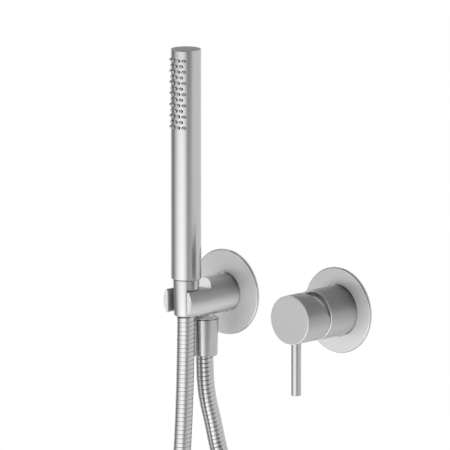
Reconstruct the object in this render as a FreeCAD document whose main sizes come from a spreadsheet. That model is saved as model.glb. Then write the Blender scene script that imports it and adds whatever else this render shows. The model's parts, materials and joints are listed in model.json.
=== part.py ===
"""Concealed shower mixer set, built in its own frame.

Millimetres. +Z is up, the finished wall is the plane Y = 0, the room is on its -Y side. The origin is
the mixer's axis on the finished wall. The hand shower's holder is to the left, at X = -axis_spacing.
A distance out of the wall is called "out", a depth behind the finished wall "depth".
"""
import FreeCAD, Part
import math
import os
import re

import Sketcher
from FreeCAD import Placement, Rotation, Vector

# Driving dimensions: alias, value, meaning

DIMENSIONS = {
    "Wall and rosettes": [
        ("axis_spacing", 120.0, "mixer axis to holder axis"),
        ("rosette_radius", 35.0, "wall rosette"),
        ("rosette_thick", 2.0, "wall rosette"),
        ("rosette_edge", 0.35, "chamfer round the rosette's face"),
        ("seal_depth", 0.8, "foam ring let into the rosette's back"),
        ("seal_inner", 24.0, "foam ring, inner radius"),
        ("seal_outer", 32.0, "foam ring, outer radius"),
        ("fit_gap", 0.1, "radial clearance of pieces pushed together"),
        ("over", 1.0, "length that a cutting tool stands past the piece"),
    ],
    "Valve body in the wall": [
        ("barrel_radius", 22.0, "cast barrel"),
        ("barrel_front", 14.0, "barrel's front, depth"),
        ("barrel_back", 60.0, "barrel's back, depth"),
        ("neck_radius", 16.0, "cartridge neck through the wall"),
        ("neck_front", 29.5, "neck's mouth, out"),
        ("chamber_radius", 13.0, "cartridge chamber"),
        ("chamber_floor", 8.0, "chamber's floor, out"),
        ("mouth_radius", 14.4, "thread in the neck's mouth"),
        ("inlet_offset", 22.0, "hot and cold inlet from the axis"),
        ("inlet_depth", 36.0, "inlet axes, depth"),
        ("inlet_drop", 40.0, "inlet faces below the axis"),
        ("inlet_boss", 13.0, "inlet boss, radius"),
        ("inlet_thread", 9.3, "G 1/2 female thread at its crests, radius"),
        ("inlet_thread_length", 15.0, "G 1/2 female thread"),
        ("inlet_bore", 6.5, "bore above the inlet thread"),
        ("inlet_top", 6.5, "top of that bore below the axis"),
        ("cross_depth", 31.0, "cross waterway, depth"),
        ("cross_drop", 8.0, "cross waterway below the axis"),
        ("cross_radius", 2.6, "cross waterway"),
        ("port_radius", 1.9, "hot and cold port"),
        ("port_side", 4.5, "hot and cold port beside the axis"),
        ("port_drop", 4.5, "hot and cold port below the axis"),
        ("mixed_radius", 2.4, "mixed water port"),
        ("mixed_rise", 2.8, "mixed water port above the axis"),
        ("outlet_depth", 40.0, "outlet pipe's axis, depth"),
        ("outlet_bore", 4.5, "outlet waterway, radius"),
        ("outlet_boss", 12.0, "outlet boss, radius"),
        ("outlet_reach", 46.0, "outlet face from the axis"),
        ("pipe_thread", 9.9, "G 1/2 male thread at mid height, radius"),
        ("thread_play", 0.05, "play between male and female thread"),
        ("thread_length", 14.0, "male thread on the outlets"),
        ("lug_spacing", 66.0, "hole to hole of the fixing lugs"),
        ("lug_rise", 12.0, "lugs above the axis"),
        ("lug_radius", 11.0, "rounded end of a lug"),
        ("lug_thick", 5.0, "lug"),
        ("lug_hole", 2.75, "hole for a 5 mm screw, radius"),
    ],
    "Cartridge": [
        ("base_front", 11.5, "base, front face, out"),
        ("base_radius", 12.9, "base and housing"),
        ("seal_ring_outer", 3.6, "port seal"),
        ("seal_ring_inner", 2.6, "port seal"),
        ("seal_ring_thick", 1.0, "port seal"),
        ("disc_radius", 11.8, "fixed disc"),
        ("disc_thick", 3.0, "each ceramic disc"),
        ("slider_radius", 8.6, "moving disc and its carrier"),
        ("slider_flat", 7.6, "flats that the guide holds, from the axis"),
        ("mix_radius", 4.2, "mixing recess in the moving disc"),
        ("mix_depth", 1.5, "mixing recess in the moving disc"),
        ("mix_ear_radius", 3.0, "the recess's upper end"),
        ("mix_ear_rise", 4.0, "the recess's upper end above the disc's middle"),
        ("water_film", 0.05, "running gap between the discs"),
        ("carrier_front", 21.3, "disc carrier, front face, out"),
        ("ball_radius", 2.5, "ball of the spindle"),
        ("ball_out", 20.3, "ball's centre, out"),
        ("socket_radius", 2.62, "ball's socket in the carrier"),
        ("housing_bore", 12.0, "housing"),
        ("housing_wall_rear", 24.2, "inside of the housing's front wall, out"),
        ("housing_front", 26.0, "shoulder that the nut holds, out"),
        ("collar_radius", 10.0, "housing's collar"),
        ("collar_front", 29.8, "housing's collar, out"),
        ("stem_bore", 8.1, "hole for the stem"),
        ("stem_radius", 8.0, "turning stem"),
        ("stem_flange", 11.7, "stem's flange, radius"),
        ("stem_rear", 21.6, "stem's flange, back face, out"),
        ("stem_flange_front", 24.1, "stem's flange, front face, out"),
        ("stem_front", 32.5, "stem, out"),
        ("slot_half_width", 3.15, "slot for the spindle"),
        ("slot_half_height", 6.2, "slot for the spindle"),
        ("guide_rear", 17.7, "guide lugs, rear end, out"),
        ("guide_outer", 11.0, "guide lugs, outer face from the axis"),
        ("guide_half_height", 4.0, "guide lugs"),
        ("pivot_out", 28.0, "tilting axis, out"),
        ("pin_radius", 1.5, "pivot pin"),
        ("pin_half_length", 7.6, "pivot pin"),
        ("pin_play", 0.05, "radial play of the spindle on its pin"),
        ("blade_half_width", 3.05, "flat part of the spindle"),
        ("blade_rear", 23.5, "flat part of the spindle, out"),
        ("shaft_rear", 34.6, "square part of the spindle, out"),
        ("shank_radius", 1.8, "spindle between blade and ball"),
        ("spindle_half", 3.5, "half of the spindle's square"),
        ("spindle_front", 56.4, "spindle's end, out"),
        ("nut_outer", 14.35, "clamping nut"),
        ("nut_inner", 10.2, "clamping nut"),
        ("nut_front", 31.0, "clamping nut, out"),
        ("nut_notch", 3.0, "spanner notches, width"),
        ("nut_notch_depth", 1.4, "spanner notches"),
    ],
    "Sleeve and cover ring": [
        ("sleeve_radius", 20.5, "sleeve"),
        ("sleeve_wall", 2.0, "sleeve"),
        ("sleeve_rear", 0.2, "sleeve's back end, out"),
        ("sleeve_front", 32.6, "sleeve's rim, out"),
        ("sleeve_edge", 0.4, "chamfer of the rim"),
        ("ring_out", 12.0, "rubber ring that holds the sleeve, out"),
        ("cover_radius", 18.0, "cover ring"),
        ("cover_rear", 20.0, "cover ring's skirt, out"),
        ("cover_front", 32.0, "cover ring's rim, out"),
        ("dome_radius", 17.2, "dome round the tilting axis"),
        ("dome_wall", 0.9, "dome"),
        ("dome_mouth", 11.8, "opening of the dome, radius"),
        ("groove_inner", 16.75, "groove between rim and dome"),
        ("groove_outer", 17.2, "groove between rim and dome"),
        ("groove_depth", 0.6, "groove between rim and dome"),
    ],
    "Handle": [
        ("cap_radius", 20.0, "handle cap"),
        ("cap_front", 60.5, "front face, out"),
        ("cap_rear", 33.4, "rear edge of the lower half, out"),
        ("cap_wall", 1.7, "side wall"),
        ("cap_face", 3.0, "front wall"),
        ("cap_edge", 0.5, "chamfer round the front face"),
        ("cap_slant", 26.0, "slant of the rear edge of the upper half, degrees"),
        ("boss_radius", 7.5, "boss on the spindle"),
        ("boss_rear", 46.0, "boss, rear face, out"),
        ("socket_play", 0.05, "play on the spindle's square"),
        ("tower_radius", 5.0, "threaded post between boss and wall"),
        ("lever_radius", 4.0, "lever pin"),
        ("lever_out", 52.2, "lever pin's axis, out"),
        ("lever_low", 62.6, "lever pin's lower end below the axis"),
        ("lever_edge", 0.4, "chamfer of the lower end"),
        ("lever_seat", 19.3, "flat seat in the cap below the axis"),
        ("root_radius", 2.5, "threaded root of the lever pin and grub screw"),
        ("root_top", 9.4, "top of the threaded root below the axis"),
        ("grub_length", 5.0, "grub screw"),
        ("grub_hex", 1.45, "hexagon socket, radius over corners"),
        ("grub_hex_depth", 2.5, "hexagon socket"),
    ],
    "Pipe in the wall": [
        ("pipe_radius", 7.5, "bridge pipe"),
        ("pipe_wall", 1.0, "bridge pipe"),
        ("pipe_flange", 9.6, "flanged ends, radius"),
        ("pipe_flange_thick", 2.0, "flanged ends"),
        ("washer_thick", 1.5, "fibre washers"),
        ("union_radius", 15.0, "union nut over the corners"),
        ("union_length", 17.0, "union nut"),
        ("union_shoulder", 2.5, "shoulder of the union nut"),
    ],
    "Wall elbow": [
        ("elbow_radius", 14.0, "barrel"),
        ("elbow_front", 8.0, "barrel's front, depth"),
        ("elbow_back", 60.0, "barrel's back, depth"),
        ("elbow_reach", 26.0, "inlet face beside the holder's axis"),
        ("elbow_boss", 12.0, "inlet boss, radius"),
        ("elbow_bore", 6.0, "waterway, radius"),
        ("flange_radius", 29.0, "fixing flange"),
        ("flange_thick", 4.0, "fixing flange"),
        ("flange_hole", 2.6, "screw hole, radius"),
        ("flange_pitch", 23.0, "screw holes from the axis"),
        ("nipple_depth", 23.0, "wall nipple's rear end, depth"),
        ("nipple_out", 13.0, "wall nipple's front end, out"),
        ("nipple_bore", 6.5, "wall nipple, radius"),
    ],
    "Holder": [
        ("stub_radius", 15.5, "round stub"),
        ("stub_rear", 0.3, "stub's back end, out"),
        ("stub_front", 60.5, "front face, out"),
        ("stub_edge", 0.5, "chamfer round the front face"),
        ("stub_thread_length", 14.0, "thread in the stub's back"),
        ("stub_bore", 5.5, "waterway, radius"),
        ("step_out", 33.8, "foot of the slope behind the fork, out"),
        ("step_slope", 45.0, "slope from the fork's flat top up to the stub's top, degrees"),
        ("step_height", 9.0, "flat top of the fork above the axis"),
        ("fork_half_width", 10.0, "half of the fork's opening"),
        ("fork_edge", 1.2, "rounding of the fork's long edges"),
        ("seat_play", 0.2, "gap round the nut in its seat"),
        ("screw_out", 7.0, "grub screw of the stub, out"),
        ("screw_radius", 2.0, "grub screw of the stub"),
        ("screw_hex", 1.2, "hexagon socket, radius over corners"),
        ("screw_hex_depth", 1.8, "hexagon socket"),
        ("screw_inset", 0.4, "screw's outer end below the surface"),
    ],
    "Outlet below the stub": [
        ("outlet_out", 27.1, "outlet's axis, out"),
        ("spout_radius", 7.8, "outlet nipple's neck"),
        ("spout_top", 0.5, "outlet nipple's upper end above the axis"),
        ("spout_bore", 6.4, "outlet nipple"),
        ("flare_start", 15.2, "cone's small end below the axis"),
        ("flare_end", 17.2, "cone's large end below the axis"),
        ("flare_low", 17.6, "collar's lower face below the axis"),
        ("flare_radius", 11.2, "collar"),
        ("spout_low", 29.2, "outlet nipple's lower end below the axis"),
        ("hose_nut_top", 18.0, "hose nut's upper end below the axis"),
        ("hose_nut_low", 48.6, "hose nut's lower end below the axis"),
        ("hose_nut_top_radius", 11.4, "hose nut"),
        ("hose_nut_low_radius", 10.5, "hose nut"),
        ("hose_nut_round", 1.3, "hose nut's lower edge"),
        ("valve_top", 3.0, "check valve's top below the axis"),
        ("valve_length", 15.0, "check valve"),
        ("valve_radius", 6.35, "check valve's body"),
        ("valve_wall", 1.0, "check valve's body"),
        ("valve_seat", 2.0, "seat, thickness"),
        ("valve_throat", 3.2, "seat, opening radius"),
        ("poppet_radius", 4.4, "poppet"),
        ("poppet_thick", 1.6, "poppet"),
        ("poppet_stem", 1.1, "poppet's stem, radius"),
        ("poppet_travel", 2.5, "poppet's travel"),
        ("guide_radius", 1.2, "stem's guide, radius"),
        ("guide_thick", 2.0, "spider that holds the guide"),
        ("guide_window", 2.2, "windows beside the guide, each side"),
        ("guide_bar", 1.2, "half width of the bars between the windows"),
        ("spring_radius", 3.0, "check valve's spring"),
        ("spring_wire", 0.5, "spring wire, radius"),
        ("spring_turns", 4.0, "spring"),
    ],
    "Hose fittings": [
        ("ferrule_flange", 9.4, "ferrule's flange, radius"),
        ("ferrule_flange_thick", 2.2, "ferrule's flange"),
        ("ferrule_radius", 8.4, "ferrule"),
        ("ferrule_bore", 4.5, "ferrule"),
        ("ferrule_length", 13.0, "ferrule below its flange"),
        ("swivel_bore", 8.6, "nuts' bore round the ferrule"),
        ("lip_radius", 7.6, "nuts' lower opening"),
        ("lip_thick", 1.8, "nuts' lower lip"),
        ("hose_washer_inner", 6.4, "hose washer"),
        ("hose_washer_outer", 9.4, "hose washer"),
        ("hose_washer_thick", 2.0, "hose washer"),
        ("swivel_gap", 0.15, "running gap of the swivel"),
    ],
    "Hand shower": [
        ("shower_out", 49.8, "hand shower's axis, out"),
        ("baton_radius", 12.3, "baton"),
        ("baton_wall", 1.0, "baton"),
        ("baton_low", 18.0, "baton's lower end above the mixer's axis"),
        ("baton_top", 206.1, "baton's top above the mixer's axis"),
        ("baton_edge", 0.4, "chamfer of both ends"),
        ("baton_cover", 2.0, "closed top"),
        ("cone_nut_top", 17.6, "conical nut's upper end"),
        ("cone_nut_low", -13.0, "conical nut's lower end"),
        ("cone_top_radius", 10.8, "conical nut"),
        ("cone_low_radius", 9.9, "conical nut"),
        ("cone_round", 2.0, "conical nut's lower edge"),
        ("cone_shoulder", 1.8, "inner shoulder of the conical nut"),
        ("stud_low", 6.2, "threaded stud's lower end"),
        ("stud_bore", 6.0, "threaded stud"),
        ("plug_top", 32.0, "upper end of the plug in the baton"),
        ("plug_shoulder", 26.0, "seat of the water guide in the plug"),
        ("regulator_low", 8.5, "flow regulator"),
        ("regulator_length", 6.0, "flow regulator"),
        ("regulator_hole", 0.9, "flow regulator's holes, radius"),
        ("water_guide_radius", 8.5, "water guide"),
        ("water_guide_wall", 1.2, "water guide"),
        ("guide_slot_half", 6.0, "water guide's slot behind the nozzles"),
        ("guide_slot_low", 142.0, "water guide's slot, lower end"),
        ("guide_slot_top", 198.5, "water guide's slot, upper end"),
    ],
    "Nozzles": [
        ("pad_inner", 8.6, "silicone pad"),
        ("pad_outer", 11.2, "silicone pad"),
        ("pad_spread", 84.0, "silicone pad, degrees round the baton"),
        ("pad_margin", 4.0, "pad past the outer rows"),
        ("nozzle_rows", 13.0, "rows"),
        ("nozzle_pitch", 4.57, "row to row"),
        ("nozzle_top", 198.0, "uppermost row"),
        ("nozzle_step", 21.9, "nozzle to nozzle in a row, degrees"),
        ("nozzle_radius", 1.0, "nozzle"),
        ("nozzle_tip", 13.7, "nozzle tips from the baton's axis"),
        ("nozzle_bore", 0.4, "spray hole"),
        ("nozzle_bore_depth", 1.5, "spray hole"),
        ("nozzle_play", 0.12, "hole in the baton round a nozzle"),
    ],
    "Hose": [
        ("hose_radius", 7.0, "metal hose"),
        ("coil_radius", 71.0, "middle of the coiled turns"),
        ("coil_turns", 2.75, "turns between the two strands"),
        ("coil_pitch", 14.3, "turn beside turn"),
        ("coil_front", 54.0, "first turn's middle, out"),
        ("coil_skin", 0.3, "room round the turns"),
        ("coil_x", -113.6, "coil's middle"),
        ("coil_z", -245.5, "coil's middle"),
        ("coil_round", 6.5, "rounding of the coil's section"),
        ("tie_width", 12.0, "tie"),
        ("tie_thick", 1.2, "tie"),
        ("tie_play", 0.4, "gap between tie and coil"),
        ("tie_angle", 60.0, "each tie from the coil's top, degrees"),
    ],
}

# The hose's route from each fitting to the coil: x, out, z, chosen by hand

SHOWER_STRAND = [
    (-120.0, 49.8, -11.05),
    (-120.2, 50.1, -44.0),
    (-120.7, 50.8, -80.0),
    (-121.6, 51.9, -115.0),
    (-122.7, 52.5, -134.6),
    (-128.5, 53.2, -153.3),
    (-138.6, 53.7, -170.1),
    (-152.4, 54.0, -183.9),
]
OUTLET_STRAND = [
    (-120.0, 27.1, -46.4),
    (-119.9, 27.0, -65.0),
    (-118.9, 24.9, -84.5),
    (-116.6, 20.6, -104.0),
    (-114.6, 17.2, -124.0),
    (-108.7, 15.6, -143.1),
    (-98.4, 15.0, -160.3),
    (-78.3, 14.7, -180.4),
]

# Headings: where a piece's own +Z points

UP = Rotation(Vector(0, 0, 1), 0)
DOWN = Rotation(Vector(1, 0, 0), 180)
OUT = Rotation(Vector(1, 0, 0), 90)
INTO = Rotation(Vector(1, 0, 0), -90)
LEFT = Rotation(Vector(0, 1, 0), -90)
RIGHT = Rotation(Vector(0, 1, 0), 90)

WORD = re.compile(r"[a-z_]+")
doc = FreeCAD.newDocument("ShowerMixerSet")
nodes = []
size = {}


def fill_sheet():
    """Write the driving dimensions to the spreadsheet, one alias a row."""
    sheet = doc.addObject("Spreadsheet::Sheet", "Dimensions")
    row = 0
    for group, entries in DIMENSIONS.items():
        row += 1
        sheet.set(f"A{row}", group)
        for alias, value, meaning in entries:
            row += 1
            sheet.set(f"A{row}", meaning)
            sheet.set(f"B{row}", str(value))
            sheet.setAlias(f"B{row}", alias)
            size[alias] = value
    doc.recompute()


def bound(text):
    """Point each dimension's name in an expression at the spreadsheet."""
    return WORD.sub(lambda m: f"Dimensions.{m.group(0)}" if m.group(0) in size else m.group(0), text)


def place(piece, heading, spot):
    """Turn a piece to its heading and tie its position to three expressions."""
    piece.Placement = Placement(Vector(0, 0, 0), heading)
    for coordinate, text in zip("xyz", spot):
        if text != "0":
            piece.setExpression(f"Placement.Base.{coordinate}", bound(text))
    return piece


# Building blocks


def rod(name, heading, radius, length, spot):
    """A cylinder that starts at a spot and runs along its heading."""
    piece = doc.addObject("Part::Cylinder", name)
    piece.setExpression("Radius", bound(radius))
    piece.setExpression("Height", bound(length))
    return place(piece, heading, spot)


def block(name, sides, corner):
    """A box from its lowest corner."""
    piece = doc.addObject("Part::Box", name)
    for side, text in zip(("Length", "Width", "Height"), sides):
        piece.setExpression(side, bound(text))
    return place(piece, UP, corner)


def ball(name, radius, spot):
    """A sphere round a spot."""
    piece = doc.addObject("Part::Sphere", name)
    piece.setExpression("Radius", bound(radius))
    return place(piece, UP, spot)


def hexagon(name, heading, circumradius, length, spot):
    """A six-sided bar that starts at a spot and runs along its heading."""
    piece = doc.addObject("Part::Prism", name)
    piece.Polygon = 6
    piece.setExpression("Circumradius", bound(circumradius))
    piece.setExpression("Height", bound(length))
    return place(piece, heading, spot)


def fused(name, *pieces):
    """Pieces joined into one solid."""
    whole = doc.addObject("Part::MultiFuse", name)
    whole.Shapes = list(pieces)
    whole.Refine = True
    return whole


def cut(name, base, *tools):
    """A base with every tool taken out of it."""
    whole = doc.addObject("Part::Cut", name)
    whole.Base = base
    whole.Tool = tools[0] if len(tools) == 1 else grouped(name + "_tools", *tools)
    whole.Refine = True
    return whole


def grouped(name, *pieces):
    """Separate pieces in one compound."""
    whole = doc.addObject("Part::Compound", name)
    whole.Links = list(pieces)
    return whole


def outline(body, corners):
    """A closed outline on the body's XZ plane, each corner at two expressions from the origin."""
    sketch = body.newObject("Sketcher::SketchObject", body.Name + "_outline")
    plane = [f for f in body.Origin.OriginFeatures if f.Role == "XZ_Plane"][0]
    sketch.AttachmentSupport = (plane, "")
    sketch.MapMode = "FlatFace"
    count = len(corners)
    step = 2 * math.pi / count
    start = [Vector(20 + 10 * math.cos(step * k), 20 + 10 * math.sin(step * k), 0) for k in range(count)]
    for k in range(count):
        sketch.addGeometry(Part.LineSegment(start[k], start[(k + 1) % count]), False)
    for k in range(count):
        sketch.addConstraint(Sketcher.Constraint("Coincident", k, 2, (k + 1) % count, 1))
    for k, (across, along) in enumerate(corners):
        rules = (("DistanceX", across, start[k].x, -2), ("DistanceY", along, start[k].y, -1))
        for kind, text, value, axis in rules:
            if text == "0":
                sketch.addConstraint(Sketcher.Constraint("PointOnObject", k, 1, axis))
            else:
                index = sketch.addConstraint(Sketcher.Constraint(kind, -1, 1, k, 1, value))
                sketch.setExpression(f"Constraints[{index}]", bound(text))
    return sketch


def turned(name, corners, heading=UP, spot=("0", "0", "0")):
    """A turned piece: an outline of (radius, height) corners swept round the body's own axis."""
    body = doc.addObject("PartDesign::Body", name)
    sketch = outline(body, corners)
    sweep = body.newObject("PartDesign::Revolution", name + "_sweep")
    sweep.Profile = sketch
    sweep.ReferenceAxis = (sketch, ["V_Axis"])
    sweep.Angle = 360
    return place(body, heading, spot)


def round_rim(body, radius, rim_radius, rim_height):
    """Round the circular rim of a turned body that has the given radius and height."""
    doc.recompute()
    base = body.Tip
    rims = []
    for number, edge in enumerate(base.Shape.Edges, 1):
        if isinstance(edge.Curve, Part.Circle):
            near = abs(edge.Curve.Radius - rim_radius) + abs(edge.Curve.Center.z - rim_height)
            rims.append((near, number))
    fillet = body.newObject("PartDesign::Fillet", body.Name + "_round")
    fillet.Base = (base, [f"Edge{min(rims)[1]}"])
    fillet.setExpression("Radius", bound(radius))
    return body


def keep(piece, name):
    """Name a finished sub-part, which becomes a node."""
    piece.Label = name
    nodes.append(piece)
    return piece


def keep_shape(shape, name):
    """Name a finished sub-part that is made straight from geometry."""
    piece = doc.addObject("Part::Feature", name)
    piece.Shape = shape
    return keep(piece, name)


# Rosettes


def rosette(side, hole, x):
    """A wall rosette with a foam ring let into its back."""
    spot = (x, "0", "0")
    plate = turned(side + "_rosette", [
        (hole, "0"),
        ("seal_inner", "0"),
        ("seal_inner", "seal_depth"),
        ("seal_outer", "seal_depth"),
        ("seal_outer", "0"),
        ("rosette_radius", "0"),
        ("rosette_radius", "rosette_thick - rosette_edge"),
        ("rosette_radius - rosette_edge", "rosette_thick"),
        (hole, "rosette_thick"),
    ], OUT, spot)
    keep(plate, side + "_rosette")
    ring = turned(side + "_rosette_seal", [
        ("seal_inner", "0"),
        ("seal_outer", "0"),
        ("seal_outer", "seal_depth"),
        ("seal_inner", "seal_depth"),
    ], OUT, spot)
    keep(ring, side + "_rosette_seal")


# Valve body in the wall


def mixer_body():
    """The cast body: barrel, neck, two inlets, the outlet and the fixing lugs."""
    walls = [
        rod("barrel", INTO, "barrel_radius", "barrel_back - barrel_front", ("0", "barrel_front", "0")),
        rod("neck", OUT, "neck_radius", "barrel_front + neck_front", ("0", "barrel_front", "0")),
        rod("outlet_boss_rod", LEFT, "outlet_boss", "outlet_reach - thread_length",
            ("0", "outlet_depth", "0")),
        rod("outlet_thread_rod", LEFT, "pipe_thread", "outlet_reach", ("0", "outlet_depth", "0")),
        block("lug_bar", ("lug_spacing", "lug_thick", "2 * lug_radius"),
              ("-lug_spacing / 2", "barrel_back - lug_thick", "lug_rise - lug_radius")),
    ]
    tools = [
        rod("chamber", OUT, "chamber_radius", "neck_front - chamber_floor + over",
            ("0", "-chamber_floor", "0")),
        rod("mouth", OUT, "mouth_radius", "neck_front - housing_front + over",
            ("0", "-housing_front", "0")),
        rod("mixed_port", INTO, "mixed_radius", "outlet_depth + chamber_floor + over",
            ("0", "-chamber_floor - over", "mixed_rise")),
        rod("outlet_way", LEFT, "outlet_bore", "outlet_reach + mixed_radius + 2 * over",
            ("mixed_radius + over", "outlet_depth", "0")),
    ]
    for side, sign, heading in (("hot", "-", LEFT), ("cold", "", RIGHT)):
        x = sign + "inlet_offset"
        port_x = sign + "port_side"
        lug_x = sign + "lug_spacing / 2"
        walls += [
            rod(side + "_boss", DOWN, "inlet_boss", "inlet_drop", (x, "inlet_depth", "0")),
            rod(side + "_lug", INTO, "lug_radius", "lug_thick",
                (lug_x, "barrel_back - lug_thick", "lug_rise")),
        ]
        tools += [
            rod(side + "_thread", UP, "inlet_thread", "inlet_thread_length + over",
                (x, "inlet_depth", "-inlet_drop - over")),
            rod(side + "_bore", UP, "inlet_bore", "inlet_drop - inlet_top",
                (x, "inlet_depth", "-inlet_drop")),
            rod(side + "_port", INTO, "port_radius", "cross_depth + chamber_floor + over",
                (port_x, "-chamber_floor - over", "-port_drop")),
            rod(side + "_cross", heading, "cross_radius", "inlet_offset - port_side",
                (port_x, "cross_depth", "-cross_drop")),
            rod(side + "_lug_hole", INTO, "lug_hole", "lug_thick + 2 * over",
                (lug_x, "barrel_back - lug_thick - over", "lug_rise")),
        ]
    keep(cut("mixer_body", fused("mixer_body_walls", *walls), *tools), "mixer_body")


# Cartridge

PORTS = (
    ("hot", "port_radius", "-port_side", "-port_drop"),
    ("cold", "port_radius", "port_side", "-port_drop"),
    ("mixed", "mixed_radius", "0", "mixed_rise"),
)


def port_rods(name, rear, front, radius=None):
    """One rod for each of the three ports, between two planes."""
    return [rod(f"{name}_{port}", OUT, radius or own_radius, f"{front} - ({rear})", (x, f"-({rear})", z))
            for port, own_radius, x, z in PORTS]


def cartridge_still_parts():
    """Base, seals, fixed disc, housing and clamping nut."""
    base = rod("base_blank", OUT, "base_radius", "base_front - chamber_floor", ("0", "-chamber_floor", "0"))
    ways = port_rods("base_way", "chamber_floor - over", "base_front + over")
    seats = port_rods("base_seat", "chamber_floor - over", "chamber_floor + seal_ring_thick",
                      "seal_ring_outer")
    keep(cut("cartridge_base", base, *ways, *seats), "cartridge_base")

    rings = port_rods("ring", "chamber_floor", "chamber_floor + seal_ring_thick", "seal_ring_outer")
    holes = port_rods("ring_hole", "chamber_floor - over", "chamber_floor + seal_ring_thick + over",
                      "seal_ring_inner")
    keep(cut("port_seals", grouped("ring_blanks", *rings), *holes), "port_seals")

    disc = rod("fixed_disc_blank", OUT, "disc_radius", "disc_thick", ("0", "-base_front", "0"))
    ways = port_rods("disc_way", "base_front - over", "base_front + disc_thick + over")
    keep(cut("fixed_disc", disc, *ways), "fixed_disc")

    housing = turned("cartridge_housing", [
        ("housing_bore", "base_front"),
        ("base_radius", "base_front"),
        ("base_radius", "housing_front"),
        ("collar_radius", "housing_front"),
        ("collar_radius", "collar_front"),
        ("stem_bore", "collar_front"),
        ("stem_bore", "housing_wall_rear"),
        ("housing_bore", "housing_wall_rear"),
    ], OUT)
    keep(housing, "cartridge_housing")

    ring = turned("nut_ring", [
        ("nut_inner", "housing_front"),
        ("nut_outer", "housing_front"),
        ("nut_outer", "nut_front"),
        ("nut_inner", "nut_front"),
    ], OUT)
    notches = [
        block("notch_across", ("2 * nut_outer", "nut_notch_depth + over", "nut_notch"),
              ("-nut_outer", "-nut_front - over", "-nut_notch / 2")),
        block("notch_upright", ("nut_notch", "nut_notch_depth + over", "2 * nut_outer"),
              ("-nut_notch / 2", "-nut_front - over", "-nut_outer")),
    ]
    keep(cut("cartridge_nut", ring, *notches), "cartridge_nut")


def slider(name, rear, front, *tools):
    """A disc with two flats, as the moving disc and its carrier are."""
    thick = f"{front} - ({rear})"
    blank = rod(name + "_blank", OUT, "slider_radius", thick, ("0", f"-({rear})", "0"))
    flats = []
    for side, x in (("left", "-slider_flat - 2 * over"), ("right", "slider_flat")):
        flats.append(block(f"{name}_{side}", ("2 * over", f"{thick} + 2 * over", "2 * slider_radius"),
                           (x, f"-({front}) - over", "-slider_radius")))
    keep(cut(name, blank, *flats, *tools), name)


def cartridge_moving_parts():
    """Moving disc, its carrier, the turning stem, the pivot pin and the spindle."""
    disc_rear = "base_front + disc_thick + water_film"
    disc_front = "base_front + 2 * disc_thick"
    recess = [
        rod("mixing_recess", OUT, "mix_radius", "mix_depth + over", ("0", f"-({disc_rear}) + over", "0")),
        rod("mixing_ear", OUT, "mix_ear_radius", "mix_depth + over",
            ("0", f"-({disc_rear}) + over", "mix_ear_rise")),
    ]
    slider("moving_disc", disc_rear, disc_front, *recess)
    socket = rod("ball_socket", OUT, "socket_radius", "carrier_front + over",
                 ("0", f"-({disc_front}) + over", "0"))
    slider("disc_carrier", disc_front, "carrier_front", socket)

    blank = turned("stem_blank", [
        ("0", "stem_rear"),
        ("stem_flange", "stem_rear"),
        ("stem_flange", "stem_flange_front"),
        ("stem_radius", "stem_flange_front"),
        ("stem_radius", "stem_front"),
        ("0", "stem_front"),
    ], OUT)
    guides = []
    for side, x in (("left", "-guide_outer"), ("right", "slider_flat + fit_gap")):
        guides.append(block("guide_" + side,
                            ("guide_outer - slider_flat - fit_gap", "stem_rear - guide_rear + over",
                             "2 * guide_half_height"),
                            (x, "-stem_rear - over", "-guide_half_height")))
    slot = block("stem_slot", ("2 * slot_half_width", "stem_front - stem_rear + 2 * over",
                               "2 * slot_half_height"),
                 ("-slot_half_width", "-stem_front - over", "-slot_half_height"))
    pin_hole = rod("stem_pin_hole", RIGHT, "pin_radius", "2 * stem_radius + 2 * over",
                   ("-stem_radius - over", "-pivot_out", "0"))
    keep(cut("cartridge_stem", fused("stem_walls", blank, *guides), slot, pin_hole), "cartridge_stem")

    keep(rod("pivot_pin", RIGHT, "pin_radius", "2 * pin_half_length",
             ("-pin_half_length", "-pivot_out", "0")), "pivot_pin")

    spindle = fused(
        "spindle_walls",
        block("shaft", ("2 * spindle_half", "spindle_front - shaft_rear", "2 * spindle_half"),
              ("-spindle_half", "-spindle_front", "-spindle_half")),
        block("blade", ("2 * blade_half_width", "shaft_rear - blade_rear + over", "2 * spindle_half"),
              ("-blade_half_width", "-shaft_rear - over", "-spindle_half")),
        rod("shank", OUT, "shank_radius", "blade_rear - ball_out", ("0", "-ball_out", "0")),
        ball("spindle_ball", "ball_radius", ("0", "-ball_out", "0")),
    )
    cross_hole = rod("spindle_pin_hole", RIGHT, "pin_radius + pin_play", "2 * pin_half_length",
                     ("-pin_half_length", "-pivot_out", "0"))
    keep(cut("spindle", spindle, cross_hole), "spindle")


# Sleeve and cover ring


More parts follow.
